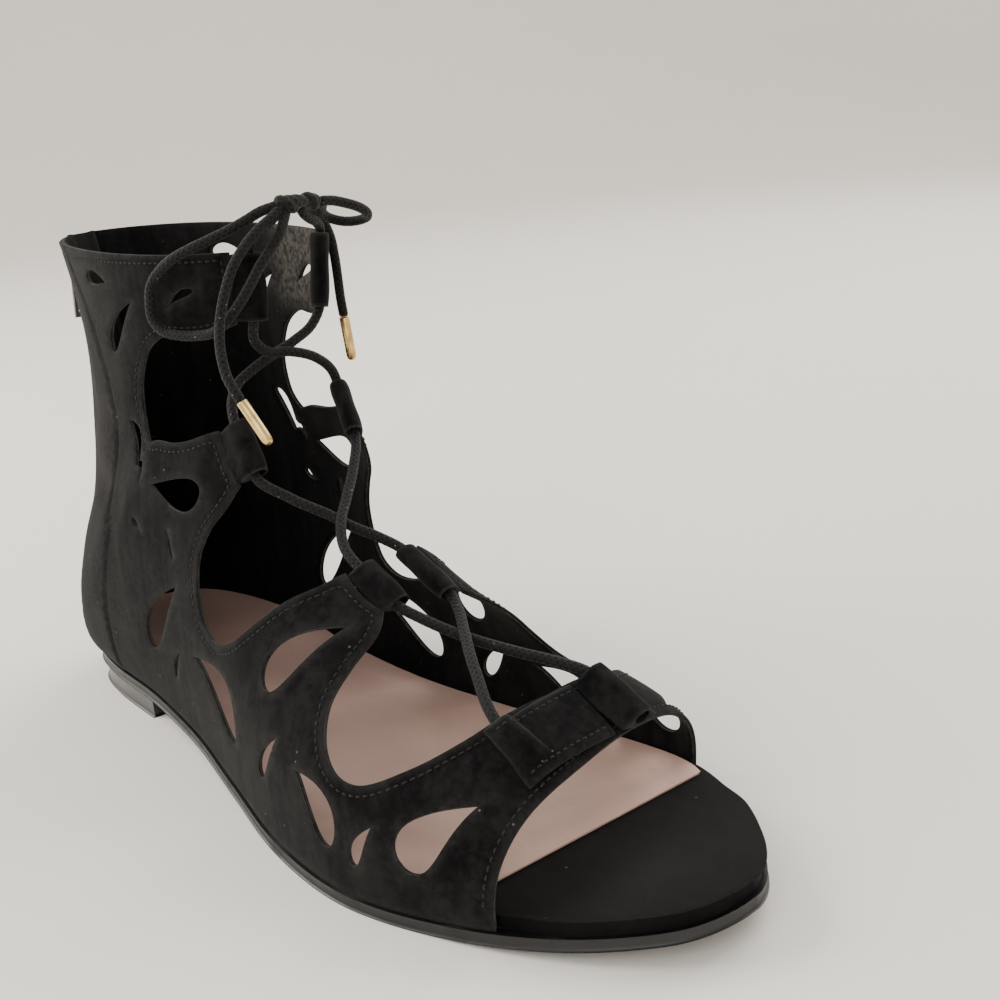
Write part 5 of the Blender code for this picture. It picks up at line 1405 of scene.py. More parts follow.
@dataclass
class Tunnels:
    """Folded suede tunnels that hold the lace along the throat."""

    last: Last
    width: float = 0.0082
    gap: float = 0.0010
    thickness: float = 0.0060
    wall: float = 0.0011
    sink: float = 0.0018
    end: float = 0.0006
    toe_width: float = 0.0136
    rings: int = 22
    sides: int = 48

    def frame(self, upper_place: tuple, lower_place: tuple, side: Side) -> tuple:
        """Seam of a tunnel on the last.

        Args:
            upper_place: Upper end, in shares.
            lower_place: Lower end, in shares.
            side: Side of the shoe.

        Returns:
            Both ends and the ways along the seam, towards the throat and outwards.
        """
        stand, girth = self.last.find(self.last.shares([upper_place, lower_place]))
        point = self.last.place(stand, girth, side)
        up_girth = self.last.place(stand, girth + 0.02, side) - point
        along = unit(point[1] - point[0])
        out = unit(np.cross(along, up_girth.sum(axis=0)) * -side.value)
        inward = np.cross(out, along) * -side.value
        return point, along, inward, out

    def lines(self) -> dict[str, tuple]:
        """Start, end and the two cross directions of each tunnel, by its node's name."""
        found = {}
        for side in Side:
            for seam in SEAMS[side]:
                point, along, inward, out = self.frame(
                    (seam.upper_along, seam.upper_up), (seam.lower_along, seam.lower_up), side)
                shift = inward * (self.width / 2 + self.gap) - out * self.sink
                found[f"tunnel_{seam.name}_{side.word}"] = (
                    point[0] + shift + along * self.end, point[1] + shift - along * self.end,
                    inward, out)
        point, along, inward, out = self.frame(*TOE_TUNNEL, Side.MEDIAL)
        shift = out * (self.thickness / 2 + 2 * GAP)
        found["tunnel_toe_medial"] = (point[0] + shift, point[1] + shift, inward, out)
        return found

    def sleeve(self, start: Array, end: Array, inward: Array, out: Array, flush: bool) -> tuple:
        """Folded sleeve: a teardrop section, thick at the fold and thin at its seam.

        With s = (1 + cos a) / 2 the share of the way from the seam to the fold, the outer
        section is (w cos a - g (1 - s)^2, h sin a thick(s) + rise (1 - ease(s))). The bore
        is an ellipse near the fold, and the ends are rounded between the two.

        Args:
            start: Start of the middle line.
            end: End of the middle line.
            inward: Way towards the fold.
            out: Way outwards.
            flush: Whether the seam side lies flush with the quarter's face.

        Returns:
            Points, faces and the wear of each point.
        """
        angle = np.arange(self.sides) * 2 * math.pi / self.sides
        share = (1 + np.cos(angle)) / 2
        high = self.thickness / 2 - 0.0003
        if flush:
            wide = self.width / 2
            thick = 0.30 + 0.70 * ease(share, 0.0, 0.55)
            a = wide * np.cos(angle) - 0.0012 * (1 - share) ** 2
            b = high * np.sin(angle) * thick + 0.0010 * (1 - ease(share, 0.0, 0.6))
        else:
            wide = self.toe_width / 2
            thin = 0.25 + 0.75 * ease(1 - np.abs(2 * share - 1), 0.0, 0.75)
            a = wide * np.cos(angle) * (1 + 0.05 * np.abs(np.cos(angle)))
            b = high * np.sin(angle) * thin - 0.0017 * ease(np.abs(2 * share - 1), 0.2, 1.0)
        bore = self.width / 2
        bore_a = (0.0009 if flush else 0.0) + (bore - self.wall - 0.0006) * np.cos(angle)
        bore_b = (high - self.wall + 0.0002) * np.sin(angle)
        along = unit(end - start)
        reach = np.linalg.norm(end - start)
        t = np.linspace(0, 1, self.rings)
        bend = 1 + 0.035 * np.sin(9 * t + start[0] * 900) - 0.07 * (2 * t - 1) ** 6
        rings = [(x * reach, a * k, b * k) for x, k in zip(t, bend)]
        lip = [(0.25, 0.00022), (0.55, 0.00030), (0.85, 0.00018)]
        rings += [(reach + push, a * (1 - s) + bore_a * s, b * (1 - s) + bore_b * s)
                  for s, push in lip]
        rings += [(x * reach, bore_a, bore_b) for x in (1.0, 0.66, 0.33, 0.0)]
        rings += [(-push, a * (1 - s) + bore_a * s, b * (1 - s) + bore_b * s)
                  for s, push in lip[::-1]]
        points = np.stack([start + along * x + np.outer(p, inward) + np.outer(q, out)
                           for x, p, q in rings])
        faces = grid_faces(len(rings) + 1, self.sides) % (len(rings) * self.sides)
        wear = np.zeros(points.shape[:2])
        wear[[0, self.rings - 1]] = 0.5
        wear[self.rings:self.rings + 3] = 0.8
        wear[-3:] = 0.8
        return points.reshape(-1, 3), faces.tolist(), wear.ravel()

    def build(self, finish: dict) -> None:
        """Build the tunnels."""
        for name, (start, end, inward, out) in self.lines().items():
            points, faces, wear = self.sleeve(start, end, inward, out, "toe" not in name)
            make_piece(f"folded_{name}", points, faces, [finish["suede"]], [name],
                       masks={"wear": wear}, outwards=True)


@dataclass
class ToeBridge:
    """Strip over the toe strap, humped over the lace's lowest bar."""

    last: Last
    thickness: float = 0.0012
    hump_half: float = 0.0048
    clearance: float = 0.0003
    fade_from: float = 0.42
    row_in: float = 0.0019
    width: float = 0.0145
    length: float = 0.045
    edge_round: float = 0.0006
    end_margin: float = 0.0003
    padding: float = 0.0003
    groove_depth: float = 0.00022
    groove_width: float = 0.0005
    rows: int = 30
    columns: int = 84

    def surface(self) -> tuple[Array, Array]:
        """Middle surface of the strip and its outward directions, as grids."""
        last = self.last
        lateral = np.stack(last.find(last.shares(TOE_SEAM)), axis=1)
        ridge = np.array([last.stand_of_ridge(BRIDGE_BACK_ALONG),
                          last.stand_of_ridge(BRIDGE_FRONT_ALONG)])
        share = np.linspace(0, 1, self.rows + 1)
        fade = 1 - ease(share, self.fade_from, 1.0)
        half = self.columns // 2
        points, outs = [], []
        for side, steps in ((Side.LATERAL, range(half)), (Side.MEDIAL, range(half + 1))):
            for t in (step / half for step in steps):
                level = 1 - t * (1 - BRIDGE_MEDIAL_GIRTH)
                ends = np.stack([ridge, [level, level]], axis=1)
                if side is Side.LATERAL:
                    ends = lateral * (1 - t) + np.stack([ridge, [1, 1]], axis=1) * t
                stand = ends[0, 0] + share * (ends[1, 0] - ends[0, 0])
                girth = ends[0, 1] + share * (ends[1, 1] - ends[0, 1])
                point = last.place(stand, girth, side)
                ahead = last.place(stand + 0.002, girth, side)
                below = last.place(stand, girth - 0.01, side)
                out = unit(np.cross(ahead - point, below - point) * -side.value)
                off = t * (1 - lateral[:, 1].mean()) * last.girth_length(stand, Side.LATERAL)
                away = np.where(side is Side.LATERAL, off / self.hump_half - 1, 1.0)
                hump = (LACE + 2 * self.clearance) * np.clip(1 - away ** 3, 0, 1) * fade
                points.append(point + out * (2 * GAP + hump + self.thickness / 2)[:, None])
                outs.append(out)
        return np.array(points), np.array(outs)

    def build(self, finish: dict) -> list[tuple[Array, Array]]:
        """Build the strip with its rounded edges and report its stitch rows."""
        middle, out = self.surface()
        lines, wide = middle.shape[:2]
        edge = np.minimum(np.arange(wide), np.arange(wide)[::-1]) * self.width / wide
        end = np.minimum(np.arange(lines), np.arange(lines)[::-1]) * self.length / lines
        near = np.minimum(edge[None], end[:, None] + self.end_margin)
        soft = np.sqrt(np.clip(near / self.edge_round, 0.12, 1))
        pad = self.padding * ease(near, 0.0003, 0.0016)
        groove = self.groove_depth * np.exp(-((edge[None] - self.row_in) / self.groove_width) ** 2)
        top = middle + out * (self.thickness / 2 * soft + pad - groove)[..., None]
        bottom = middle - out * (self.thickness / 2 * soft)[..., None]
        points = np.concatenate([top.reshape(-1, 3), bottom.reshape(-1, 3)])
        size = lines * wide
        upper = grid_faces(lines, wide, wrap=False)
        faces = upper.tolist() + (upper[:, ::-1] + size).tolist()
        border = np.concatenate([np.arange(wide), np.arange(1, lines) * wide + wide - 1,
                                 size - 1 - np.arange(1, wide),
                                 (np.arange(lines - 2, 0, -1)) * wide])
        after = np.roll(border, -1)
        faces += np.stack([border, after, after + size, border + size], axis=1).tolist()
        wear = np.tile((np.exp(-near / 0.0009) * 0.6).ravel(), 2)
        make_piece("stitched_toe_bridge", points, faces, [finish["suede"]],
                   ["toe_bridge"], masks={"wear": wear}, outwards=True, sharp=70)
        at = round(self.row_in / self.width * wide)
        return [(top[2:-2, k] + out[2:-2, k] * 0.0001, out[2:-2, k]) for k in (at, wide - 1 - at)]


# Sole

@dataclass
class Sole:
    """Outsole with tread, low heel block, wrapped footbed and the pink insole."""

    last: Last
    wall: float = 0.0014
    footbed: float = 0.0042
    liner: float = 0.0010
    liner_ends: tuple = (0.812, 0.836)
    toe_inset: float = 0.0009
    block_inset: float = 0.0006
    liner_inset: float = 0.0012
    heel_cup: float = 0.0010
    tip: float = 0.0004

    def footbed_inset(self, x: Array) -> Array:
        """The footbed lies inside the upper's wall, and comes out at the open toe."""
        under_upper = self.last.upper_inset + self.wall + GAP
        open_toe = ease(x, 0.862 * self.last.length, 0.905 * self.last.length)
        return under_upper + (self.toe_inset - under_upper) * open_toe

    def footbed_top(self, x: Array, across: Array) -> Array:
        """Top of the footbed, cupped at the heel."""
        cup = 1 - ease(x, 0.45 * self.last.length, 0.70 * self.last.length)
        return self.last.seat_z(x) + GAP + self.footbed + self.heel_cup * across ** 2 * cup

    def plan(self, inset: Callable, ends: tuple, rows: int, columns: int) -> tuple[Array, Array]:
        """Plan of a layer: rows from the heel to its ends, each from edge to edge.

        Args:
            inset: How far inside the outline, at x.
            ends: Shares of the length at which the two edges end.
            rows: Rows along.
            columns: Steps across.

        Returns:
            The plan's points and the share across of each column, from -1 to 1.
        """
        length = self.last.length
        edges = []
        for side, end in zip(Side, ends):
            finish = math.acos(1 - 2 * min(end, 1 - self.tip))
            turn = np.linspace(math.acos(1 - 2 * self.tip), finish, rows + 1)

            def on_edge(angle: Array, side: Side = side) -> Array:
                """Points of the sole's edge at angles round its side."""
                x = length * (1 - np.cos(angle)) / 2
                return np.stack([x, self.last.edge_y(x, side)], axis=-1)

            way = on_edge(np.clip(turn + 1e-3, 0, math.pi)) - on_edge(turn - 1e-3)
            square = unit(np.stack([way[:, 1], -way[:, 0]], axis=1)) * side.value
            place = on_edge(turn)
            edges.append(place + square * np.asarray(inset(place[:, 0]))[..., None])
        share = (1 - np.cos(np.linspace(0, math.pi, columns + 1))) / 4
        share += np.linspace(0, 1, columns + 1) / 2
        lateral, medial = edges
        return (lateral[:, None] * (1 - share)[None, :, None]
                + medial[:, None] * share[None, :, None]), 2 * share - 1

    def layer(self, name: str, finishes: list, replaced: str, inset: Callable,
              low: Callable, high: Callable, rounds: tuple, ends: tuple = (1.0, 1.0),
              rows: int = 150, columns: int = 30, wear: Callable | None = None) -> None:
        """A closed layer with rounded upper and lower edges.

        The rounding is a quarter circle from the wall to each face, worked out at the
        plan's border along its inward direction.

        Args:
            name: Name of the piece.
            finishes: Its materials.
            replaced: CAD node that it stands for.
            inset: How far inside the outline, at x.
            low: Height of its underside at x and the share across.
            high: Height of its top.
            rounds: Radii of its upper and lower edges.
            ends: Shares of the length where the edges end.
            rows: Rows along.
            columns: Steps across.
            wear: Wear and painted light of the top, at x and y.
        """
        plan, across = self.plan(inset, ends, rows, columns)
        wide = columns + 1
        size = plan.shape[0] * wide
        border = np.concatenate([np.arange(wide), np.arange(1, rows + 1) * wide + columns,
                                 size - 1 - np.arange(1, wide), np.arange(rows - 1, 0, -1) * wide])
        flat = plan.reshape(-1, 2)
        x, share = flat[:, 0], np.tile(across, plan.shape[0])
        rim = flat[border]
        way = np.roll(rim, -1, axis=0) - np.roll(rim, 1, axis=0)
        square = unit(np.stack([-way[:, 1], way[:, 0]], axis=1))
        upper, lower = rounds
        faces_at = []
        for radius, height in ((upper, high), (lower, low)):
            face = flat.copy()
            face[border] = rim + square * radius
            faces_at.append(np.column_stack([face, height(x, share)]))
        top, bottom = (height[border] for height in (high(x, share), low(x, share)))
        rings = []
        for turns, radius, level, way in (((30, 60, 90), upper, top, -1),
                                          ((90, 60, 30), lower, bottom, 1)):
            for turn in turns:
                s, c = math.sin(math.radians(turn)), math.cos(math.radians(turn))
                rings.append(np.column_stack([rim + square * radius * (1 - s),
                                              level + way * radius * (1 - c)]))
        points = np.concatenate(faces_at + rings)
        over = grid_faces(rows + 1, wide, wrap=False)
        faces = over.tolist() + (over[:, ::-1] + size).tolist()
        ids = [border] + [2 * size + k * len(border) + np.arange(len(border)) for k in range(6)]
        ids.append(border + size)
        for a, b in zip(ids[:-1], ids[1:]):
            faces += np.stack([a, np.roll(a, -1), np.roll(b, -1), b], axis=1).tolist()
        masks = {}
        if wear is not None:
            masks["wear"] = wear(points[:, 0], points[:, 1])
        make_piece(name, points, faces, finishes, [replaced], masks=masks,
                   outwards=True, sharp=60)

    def tread(self, x: Array, across: Array) -> Array:
        """Depth of the tread: shallow chevron grooves inside a plain border."""
        wave = np.abs(np.sin(math.pi * (x + 0.012 * np.abs(across)) / 0.0052))
        inside_edge = 1 - ease(np.abs(across), 0.80, 0.86)
        sole = ease(x, 0.105, 0.108) * (1 - ease(x, 0.240, 0.243))
        return 0.0006 * (1 - ease(wave, 0.25, 0.5)) * inside_edge * sole

    def build(self, finish: dict) -> None:
        """Build the layers."""
        last = self.last
        self.layer("outsole_rubber", [finish["rubber"]], "outsole",
                   lambda x: 0 * x, lambda x, s: last.under_z(x) + self.tread(x, s),
                   lambda x, s: last.seat_z(x), (0.0004, 0.0007), rows=300)
        self.layer("heel_rubber_block", [finish["heel_rubber"]], "heel_block",
                   lambda x: np.full(np.shape(x), self.block_inset),
                   lambda x, s: 0 * x + self.lift(x, s), lambda x, s: last.under_z(x) - GAP,
                   (0.0003, 0.0008), ends=(0.205, 0.205), rows=70)
        # The footbed's top is paler in the middle of the toe: painted highlight over rubbed nap
        self.layer("wrapped_footbed", [finish["suede_toe"]], "footbed",
                   self.footbed_inset, lambda x, s: last.seat_z(x) + 0.00005,
                   self.footbed_top, (0.0013, 0.0003), wear=self.toe_wear)
        self.layer("pink_insole", [finish["liner"]], "sock_liner",
                   lambda x: self.footbed_inset(x) + self.liner_inset,
                   lambda x, s: self.footbed_top(x, s) + 0.0001,
                   lambda x, s: (self.footbed_top(x, s) + GAP + self.relief(x, s)
                                 + self.liner * self.feather(x, s)),
                   (0.0004, 0.0001), ends=self.liner_ends, wear=self.foot_wear)

    def feather(self, x: Array, across: Array) -> Array:
        """Share of the insole's thickness: it is pressed thin along its front edge."""
        lateral, medial = self.liner_ends
        end = self.last.length * (lateral + (medial - lateral) * (across + 1) / 2)
        return 1 - 0.6 * ease(x, end - 0.005, end)

    def lift(self, x: Array, across: Array) -> Array:
        """Shallow cross grooves in the heel's underside."""
        wave = np.abs(np.sin(math.pi * x / 0.006))
        inner = (1 - ease(np.abs(across), 0.78, 0.84)) * ease(x, 0.004, 0.007)
        return 0.0006 * (1 - ease(wave, 0.25, 0.5)) * inner * (1 - ease(x, 0.046, 0.049))

    def relief(self, x: Array, across: Array) -> Array:
        """Soft hollows under the heel and the ball, and fine ripples between."""
        y = across * 0.030
        heel = np.exp(-((x - 0.030) / 0.016) ** 2 - (y / 0.015) ** 2)
        ball = np.exp(-((x - 0.180) / 0.018) ** 2 - (y / 0.020) ** 2)
        ripple = np.sin(x * 420 + 6 * across) * np.sin(x * 97) * (1 - across ** 2)
        return -0.00025 * heel - 0.00018 * ball + 0.00004 * ripple

    def foot_wear(self, x: Array, y: Array) -> Array:
        """Where a foot has rested: heel, ball and the outer edge between them."""
        heel = np.exp(-((x - 0.032) / 0.020) ** 2 - (y / 0.018) ** 2)
        ball = np.exp(-((x - 0.178) / 0.024) ** 2 - ((y + 0.002) / 0.028) ** 2)
        arch = np.exp(-((x - 0.105) / 0.050) ** 2 - ((y + 0.022) / 0.012) ** 2)
        return np.clip(0.8 * heel + 0.8 * ball + 0.5 * arch, 0, 1)

    def toe_wear(self, x: Array, y: Array) -> Array:
        """Paler patch on the middle of the toe: rubbed nap with a painted highlight."""
        patch = np.exp(-((x - 0.240) / 0.011) ** 2 - ((y + 0.004) / 0.020) ** 2)
        return 0.55 * patch


# Lace

@dataclass
class Lace:
    """One woven lace through the tunnels, its knot and bow, and its gold tips."""

    tunnels: Tunnels
    aglet_length: float = 0.0135
    aglet_diameter: float = 0.0030
    wind: float = 0.0042
    wound: float = 0.0016
    step: float = 0.00042
    sides: int = 24
    around: int = 5
    pitch: float = 0.0017
    relief: float = 0.025

    def tube(self, path: Array, radii: Array) -> tuple[Array, list, Array]:
        """Woven tube: radius R (1 + k max(sin(n u + w s), sin(n u - w s))) round the path.

        Args:
            path: Close points of the centreline.
            radii: Radius at each of them.

        Returns:
            Points, faces and map coordinates of the faces' corners.
        """
        way = unit(np.gradient(path, axis=0))
        across = np.zeros_like(path)
        held = np.array([0.3, 0.9, 0.2])
        for k, direction in enumerate(way):
            held = unit(held - direction * (held @ direction))
            across[k] = held
        other = np.cross(way, across)
        along = lengths(path)
        angle = np.arange(self.sides) * 2 * math.pi / self.sides
        turn = self.around * angle[None, :]
        wave = 2 * math.pi / self.pitch * along[:, None]
        weave = np.maximum(np.sin(turn + wave), np.sin(turn - wave))
        radius = radii[:, None] * (1 + self.relief * (weave - 0.6))
        points = (path[:, None] + radius[..., None] * (
            np.cos(angle)[None, :, None] * across[:, None]
            + np.sin(angle)[None, :, None] * other[:, None]))
        rings = len(path)
        faces = grid_faces(rings, self.sides)
        i, j = np.meshgrid(np.arange(rings - 1), np.arange(self.sides), indexing="ij")
        u, v = np.stack([j, j + 1, j + 1, j], -1) / self.sides, np.stack([i, i, i + 1, i + 1], -1)
        uv = np.stack([u, along[v]], axis=-1).reshape(-1, 2)
        caps = [list(range(self.sides))[::-1],
                [(rings - 1) * self.sides + k for k in range(self.sides)]]
        uv = np.concatenate([uv, np.zeros((2 * self.sides, 2))])
        return points.reshape(-1, 3), faces.tolist() + caps, uv

    def cord(self, name: str, finish: dict, routes: list[Array], replaced: str) -> tuple:
        """A piece of one or more lengths of lace.

        Args:
            name: Name of the piece.
            finish: Materials by name.
            routes: Points that each length follows.
            replaced: CAD node that it stands for.

        Returns:
            The piece and the close points of its first length.
        """
        points, faces, uvs, paths, count = [], [], [], [], 0
        for route in routes:
            path = curve_through(route, self.step)
            radii = np.full(len(path), LACE / 2)
            radii[[0, -1]] *= 0.8
            made, quads, uv = self.tube(path, radii)
            points.append(made)
            faces += [[v + count for v in face] for face in quads]
            uvs.append(uv)
            paths.append(path)
            count += len(made)
        piece = make_piece(name, np.concatenate(points), faces, [finish["cord"]],
                           [replaced], uv=np.concatenate(uvs))
        return piece, paths[0]

    def through(self, route: Array) -> Array:
        """The route, run on into the middle of any tunnel that it ends at."""
        mouths = np.array([(start, end) for start, end, _, _ in self.tunnels.lines().values()])
        for _ in range(2):
            far = np.linalg.norm(mouths - route[-1], axis=2)
            k, j = np.unravel_index(far.argmin(), far.shape)
            if far[k, j] < 0.009:
                mouth, other = mouths[k, j], mouths[k, 1 - j]
                inward = unit(other - mouth)
                if (route[-1] - mouth) @ inward < 0.002:
                    extra = [mouth + inward * 0.003, mouth + inward * 0.007, (mouth + other) / 2]
                    route = np.vstack([route, extra])
            route = route[::-1]
        return route

    def knot(self, finish: dict) -> None:
        """The knot: the lace wound in close turns round a line, loosely at its middle."""
        axis = np.array([point for point, _ in KNOT])
        radius = np.array([r for _, r in KNOT])
        along = lengths(axis)
        count = 420
        at = np.linspace(0.0012, along[-1] - 0.0012, count)
        line = np.stack([smooth(along, axis[:, k], at) for k in range(3)], axis=1)
        way = unit(np.gradient(line, axis=0))
        across = unit(np.cross(way, [0.2, 0.1, 1.0]))
        other = np.cross(way, across)
        turn = 2 * math.pi * at / self.wind
        full = smooth(along, radius, at)
        reach = np.maximum(full - self.wound, 0.0002)
        path = (line + (reach * np.cos(turn))[:, None] * across
                + (reach * np.sin(turn))[:, None] * other + way * (0.0006 * np.sin(turn))[:, None])
        path = evenly(path, self.step)
        points, faces, uv = self.tube(path, np.full(len(path), self.wound))
        core = self.tube(line, np.maximum(full * 0.86, 0.0004))
        faces = [list(face) for face in faces] + [[v + len(points) for v in f] for f in core[1]]
        points, uv = np.concatenate([points, core[0]]), np.concatenate([uv, core[2]])
        make_piece("lace_knot_wound", points, faces, [finish["cord"]], ["lace_knot"],
                   uv=uv)

    def aglet(self, name: str, route: Sequence, finish: dict) -> bpy.types.Object:
        """Gold tip: a tube turned from a profile, with a rounded far end."""
        last, before = np.array(route[-1]), np.array(route[-2])
        way = unit(last - before)
        across = unit(np.cross(way, [0.3, 0.9, 0.2]))
        other = np.cross(way, across)
        shape = [(0.0, 0.55), (0.0, 0.90), (0.012, 1.0), (0.82, 1.0), (0.88, 0.97),
                 (0.93, 0.88), (0.965, 0.72), (0.985, 0.48), (0.997, 0.22), (1.0, 0.02)]
        angle = np.arange(28) * 2 * math.pi / 28
        ring = np.outer(np.cos(angle), across) + np.outer(np.sin(angle), other)
        start = last + way * GAP
        points = np.stack([start + way * self.aglet_length * s + ring * self.aglet_diameter / 2 * r
                           for s, r in shape])
        faces = grid_faces(len(shape), 28).tolist()
        faces += [list(range(28))[::-1], list(range((len(shape) - 1) * 28, len(shape) * 28))]
        return make_piece(f"gold_{name}", points.reshape(-1, 3), faces, [finish["gold"]],
                          [name], outwards=True)

    def build(self, finish: dict) -> None:
        """Build the lace and log the lengths of its free parts."""
        tips = {cord: self.aglet(name, CORDS[cord], finish) for name, cord in AGLETS.items()}
        shift = np.array([HEEL_CENTRE, 0, 0])
        made, exits = {}, {}
        for name, route in CORDS.items():
            first, past = TUCKS[name]
            route = np.array([first, *route] + ([past] if past else []), float)
            if "strand" in name:
                route = self.through(route)
            made[name], path = self.cord(f"woven_{name}", finish, [route], name)
            exits[name] = path - shift
        for name, routes in CROSSINGS.items():
            routes = [self.through(np.array(route, float)) for route in routes]
            self.cord(f"woven_lace_{name}", finish, routes, f"lace_crossing_{name}")
        self.knot(finish)
        for name, length, far_end, tip in (
                ("lace_loop_lateral", 0.116, "object", ()),
                ("lace_loop_medial", 0.048, "object", ()),
                ("lace_end_lateral", 0.0585, "fitting", [tips["lace_end_lateral"]]),
                ("lace_end_medial", 0.055, "fitting", [tips["lace_end_medial"]])):
            path = exits[name]
            LOG.info("%s is %.1f mm long", name, lengths(path)[-1] * 1000)


# Back zip

@dataclass
class Zip:
    """Zip up the back with its tape, teeth, slider and hinged pull tab."""

    last: Last
    foot_up: float = 0.246
    head_up: float = 1.0
    tape_half: float = 0.0046
    tape_bend: float = 0.0009
    tape: float = 0.0009
    tape_sink: float = 0.0008
    chain: float = 0.0011
    chain_half: float = 0.0014
    tooth_pitch: float = 0.00115

    def back(self, up: Array) -> tuple[Array, Array, Array]:
        """Points of the back line at shares of the height, with the ways up and out."""
        stand = np.array([self.last.stand_of_back(u) for u in np.atleast_1d(up)])
        base = self.last.values(stand)[0][:, 0:2]
        ahead = self.last.values(np.minimum(stand + 1e-3, 1.0))[0][:, 0:2]
        way = unit(ahead - self.last.values(stand - 1e-3)[0][:, 0:2])
        zero = np.zeros(len(stand))
        point = np.stack([base[:, 0], zero, base[:, 1]], axis=1)
        way = np.stack([way[:, 0], zero, way[:, 1]], axis=1)
        out = np.cross(way, [0.0, 1.0, 0.0])
        return point, way, out * np.sign(-out[:, 0:1])

    def build_tape(self, finish: dict) -> None:
        """Tape: a thin closed strip with rounded edges that follows the back line."""
        rows, across = 90, 17
        point, _, out = self.back(np.linspace(self.foot_up, self.head_up, rows))
        y = np.linspace(-self.tape_half, self.tape_half, across)
        bend = -self.tape_bend * ease(np.abs(y), 0.0022, 0.0036)
        thin = np.where(np.abs(y) < self.tape_half, 1.0, 0.5)
        y = np.concatenate([y, y[::-1]])
        z = np.concatenate([bend - self.tape * (1 - thin) / 2, bend - self.tape * (1 + thin) / 2])
        middle = point - out * self.tape_sink
        points = (middle[:, None] + z[None, :, None] * out[:, None]
                  + y[None, :, None] * np.array([0.0, 1.0, 0.0]))
        around = 2 * across
        faces = grid_faces(rows, around).tolist()
        faces += [list(range(around))[::-1], list(range((rows - 1) * around, rows * around))]
        make_piece("woven_zip_tape", points.reshape(-1, 3), faces, [finish["tape"]],
                   ["zip_tape"], outwards=True)

    def build_teeth(self, finish: dict) -> None:
        """Teeth: two interlocking rows of small rounded blocks on a thin cord."""
        height = (self.head_up - self.foot_up - 0.02) * self.last.collar_height
        count = int(height / self.tooth_pitch)
        point, way, out = self.back(np.linspace(self.foot_up + 0.01, self.head_up - 0.01, count))
        side = np.where(np.arange(count) % 2 == 0, 1.0, -1.0)
        middle = point - out * (self.tape_sink - GAP - self.chain / 2)
        middle = middle + np.array([0.0, 1.0, 0.0]) * (side * 0.00035)[:, None]
        corners = np.array([(x, y, z) for x in (-1, -0.7, 0.7, 1) for y, z in (
            (-1, -0.6), (-0.7, -1), (0.7, -1), (1, -0.6), (1, 0.6), (0.7, 1), (-0.7, 1), (-1, 0.6))])
        soft = np.where(np.abs(corners[:, 0:1]) == 1, 0.8, 1.0)
        size = np.array([self.chain_half * 0.72, self.tooth_pitch * 0.40, self.chain / 2 * 0.95])
        shape = corners * size * np.concatenate([np.ones_like(soft), soft, soft], axis=1)
        points = (middle[:, None] + shape[None, :, 0:1] * np.array([0.0, 1.0, 0.0])
                  + shape[None, :, 1:2] * way[:, None] + shape[None, :, 2:3] * out[:, None])
        one = grid_faces(4, 8).tolist() + [list(range(8))[::-1], list(range(24, 32))]
        faces = [[v + k * 32 for v in face] for k in range(count) for face in one]
        make_piece("zip_teeth", points.reshape(-1, 3), faces, [finish["zip_metal"]],
                   ["zip_chain"], outwards=True)

    def build_metal(self, finish: dict) -> None:
        """Slider and pull tab: the CAD forms with their edges rounded."""
        for node, name, slot, body, width in (
                ("zip_slider", "rounded_slider", "zip_metal", "sandal", 0.00022),
                ("zip_pull", "rounded_pull", "pull_metal", "pull_tab", 0.00016)):
            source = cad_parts[node]
            mesh = source.data.copy()
            mesh.name = name
            mesh.materials.clear()
            mesh.materials.append(finish[slot])
            shape = bmesh.new()
            shape.from_mesh(mesh)
            bmesh.ops.remove_doubles(shape, verts=shape.verts, dist=1e-6)
            bmesh.ops.dissolve_limit(shape, angle_limit=0.02, verts=shape.verts,
                                     edges=shape.edges)
            shape.to_mesh(mesh)
            shape.free()
            mesh.shade_smooth()
            mesh.set_sharp_from_angle(angle=math.radians(40))
            piece = bpy.data.objects.new(name, mesh)
            bpy.context.scene.collection.objects.link(piece)
            bevel = piece.modifiers.new("edges", "BEVEL")
            bevel.width = width
            bevel.segments = 2
            bevel.limit_method = "ANGLE"
            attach(piece, body)
            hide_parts(node)

    def build(self, finish: dict) -> None:
        """Build the zip."""
        self.build_tape(finish)
        self.build_teeth(finish)
        self.build_metal(finish)


# Studio

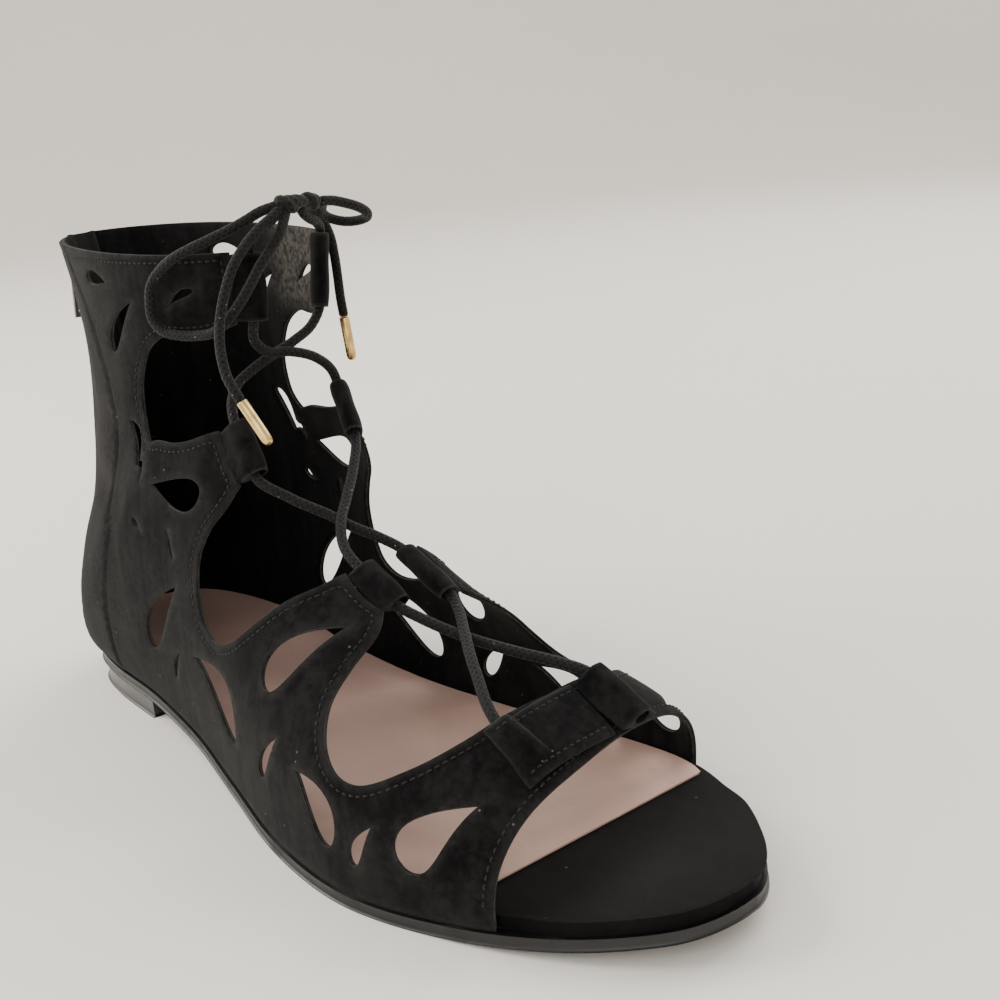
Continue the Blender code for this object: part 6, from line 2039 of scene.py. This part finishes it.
@dataclass
class Studio:
    """Camera at the photograph's view, pale floor and soft light."""

    location: tuple = (0.404934, -0.204970, 0.194852)
    yaw: float = 0.857058882
    pitch: float = 0.324081461
    roll: float = -0.0955901825
    focal: float = 1.41792332
    sensor: float = 36.0

    def camera(self) -> None:
        """Camera whose axes come from its yaw, pitch and roll."""
        sin, cos = math.sin, math.cos
        front = Vector((-sin(self.yaw) * cos(self.pitch), cos(self.yaw) * cos(self.pitch),
                        -sin(self.pitch)))
        right = Vector((cos(self.yaw), sin(self.yaw), 0))
        up = right.cross(front)
        turned = cos(self.roll) * right + sin(self.roll) * up
        raised = cos(self.roll) * up - sin(self.roll) * right
        data = bpy.data.cameras.new("camera")
        data.sensor_width = self.sensor
        data.lens = self.focal * self.sensor
        data.clip_start = 0.01
        camera = bpy.data.objects.new("camera", data)
        axes = Matrix((turned, raised, -front)).transposed().to_4x4()
        camera.matrix_world = Matrix.Translation(self.location) @ axes
        bpy.context.scene.collection.objects.link(camera)
        bpy.context.scene.camera = camera

    def lamp(self, name: str, place: tuple, target: tuple, size: float, power: float,
             colour: Colour) -> None:
        """Soft square light.

        Args:
            name: Name of the light.
            place: Where it stands.
            target: What it faces.
            size: Length of its side.
            power: Watts.
            colour: Its colour.
        """
        data = bpy.data.lights.new(name, "AREA")
        data.size = size
        data.energy = power
        data.color = colour
        lamp = bpy.data.objects.new(name, data)
        lamp.location = place
        way = Vector(target) - Vector(place)
        lamp.rotation_euler = way.to_track_quat("-Z", "Y").to_euler()
        bpy.context.scene.collection.objects.link(lamp)

    def build(self, finish: dict) -> None:
        """Set up camera, floor and light."""
        self.camera()
        turn = np.linspace(0, math.pi / 2, 13)
        reach = np.concatenate([[0.02, 0.4, 0.9], 1.3 + 0.6 * np.sin(turn), [1.9]])
        height = np.concatenate([[0, 0, 0], 0.6 * (1 - np.cos(turn)), [1.7]])
        angle = np.arange(64) * 2 * math.pi / 64
        rings = np.stack([np.outer(reach, np.cos(angle)) + 0.1, np.outer(reach, np.sin(angle)),
                          np.repeat(height[:, None], 64, axis=1)], axis=-1)
        mesh = bpy.data.meshes.new("floor")
        faces = grid_faces(len(reach), 64).tolist() + [list(range(64))[::-1]]
        mesh.from_pydata(rings.reshape(-1, 3).tolist(), [], faces)
        mesh.shade_smooth()
        mesh.materials.append(finish["floor"])
        floor = bpy.data.objects.new("floor", mesh)
        bpy.context.scene.collection.objects.link(floor)
        world = bpy.data.worlds.new("studio")
        world.use_nodes = True
        world.node_tree.nodes["Background"].inputs["Color"].default_value = (0.97, 0.97, 1.0, 1)
        world.node_tree.nodes["Background"].inputs["Strength"].default_value = 0.72
        bpy.context.scene.world = world
        self.lamp("key", (-0.75, -0.55, 0.75), (0.05, 0, 0.05), 0.8, 16.0, (1.0, 0.97, 0.93))
        self.lamp("fill", (0.65, -0.75, 0.60), (0.10, 0, 0.05), 1.0, 5.0, (0.95, 0.97, 1.0))
        self.lamp("back", (0.05, 0.85, 0.80), (0.08, 0, 0.05), 0.9, 9.0, (1.0, 0.98, 0.96))


def main() -> None:
    """Build the sandal piece by piece."""
    logging.basicConfig(level=logging.INFO, format="%(message)s")
    make_effects()
    finish = {kind.name: kind.material() for kind in FINISHES}
    last = Last()
    Studio().build(finish)
    LOG.info("studio")
    tunnels = Tunnels(last)
    Lace(tunnels).build(finish)
    LOG.info("lace")
    Sole(last).build(finish)
    LOG.info("sole")
    rows = Upper(last).build(finish)
    LOG.info("upper")
    tunnels.build(finish)
    LOG.info("tunnels")
    rows += ToeBridge(last).build(finish)
    LOG.info("toe bridge")
    points, faces = stitch_mesh(rows)
    make_piece("stitches", points, faces, [finish["thread"]])
    LOG.info("stitches")
    Zip(last).build(finish)
    LOG.info("zip")


if __name__ == "__main__":
    main()
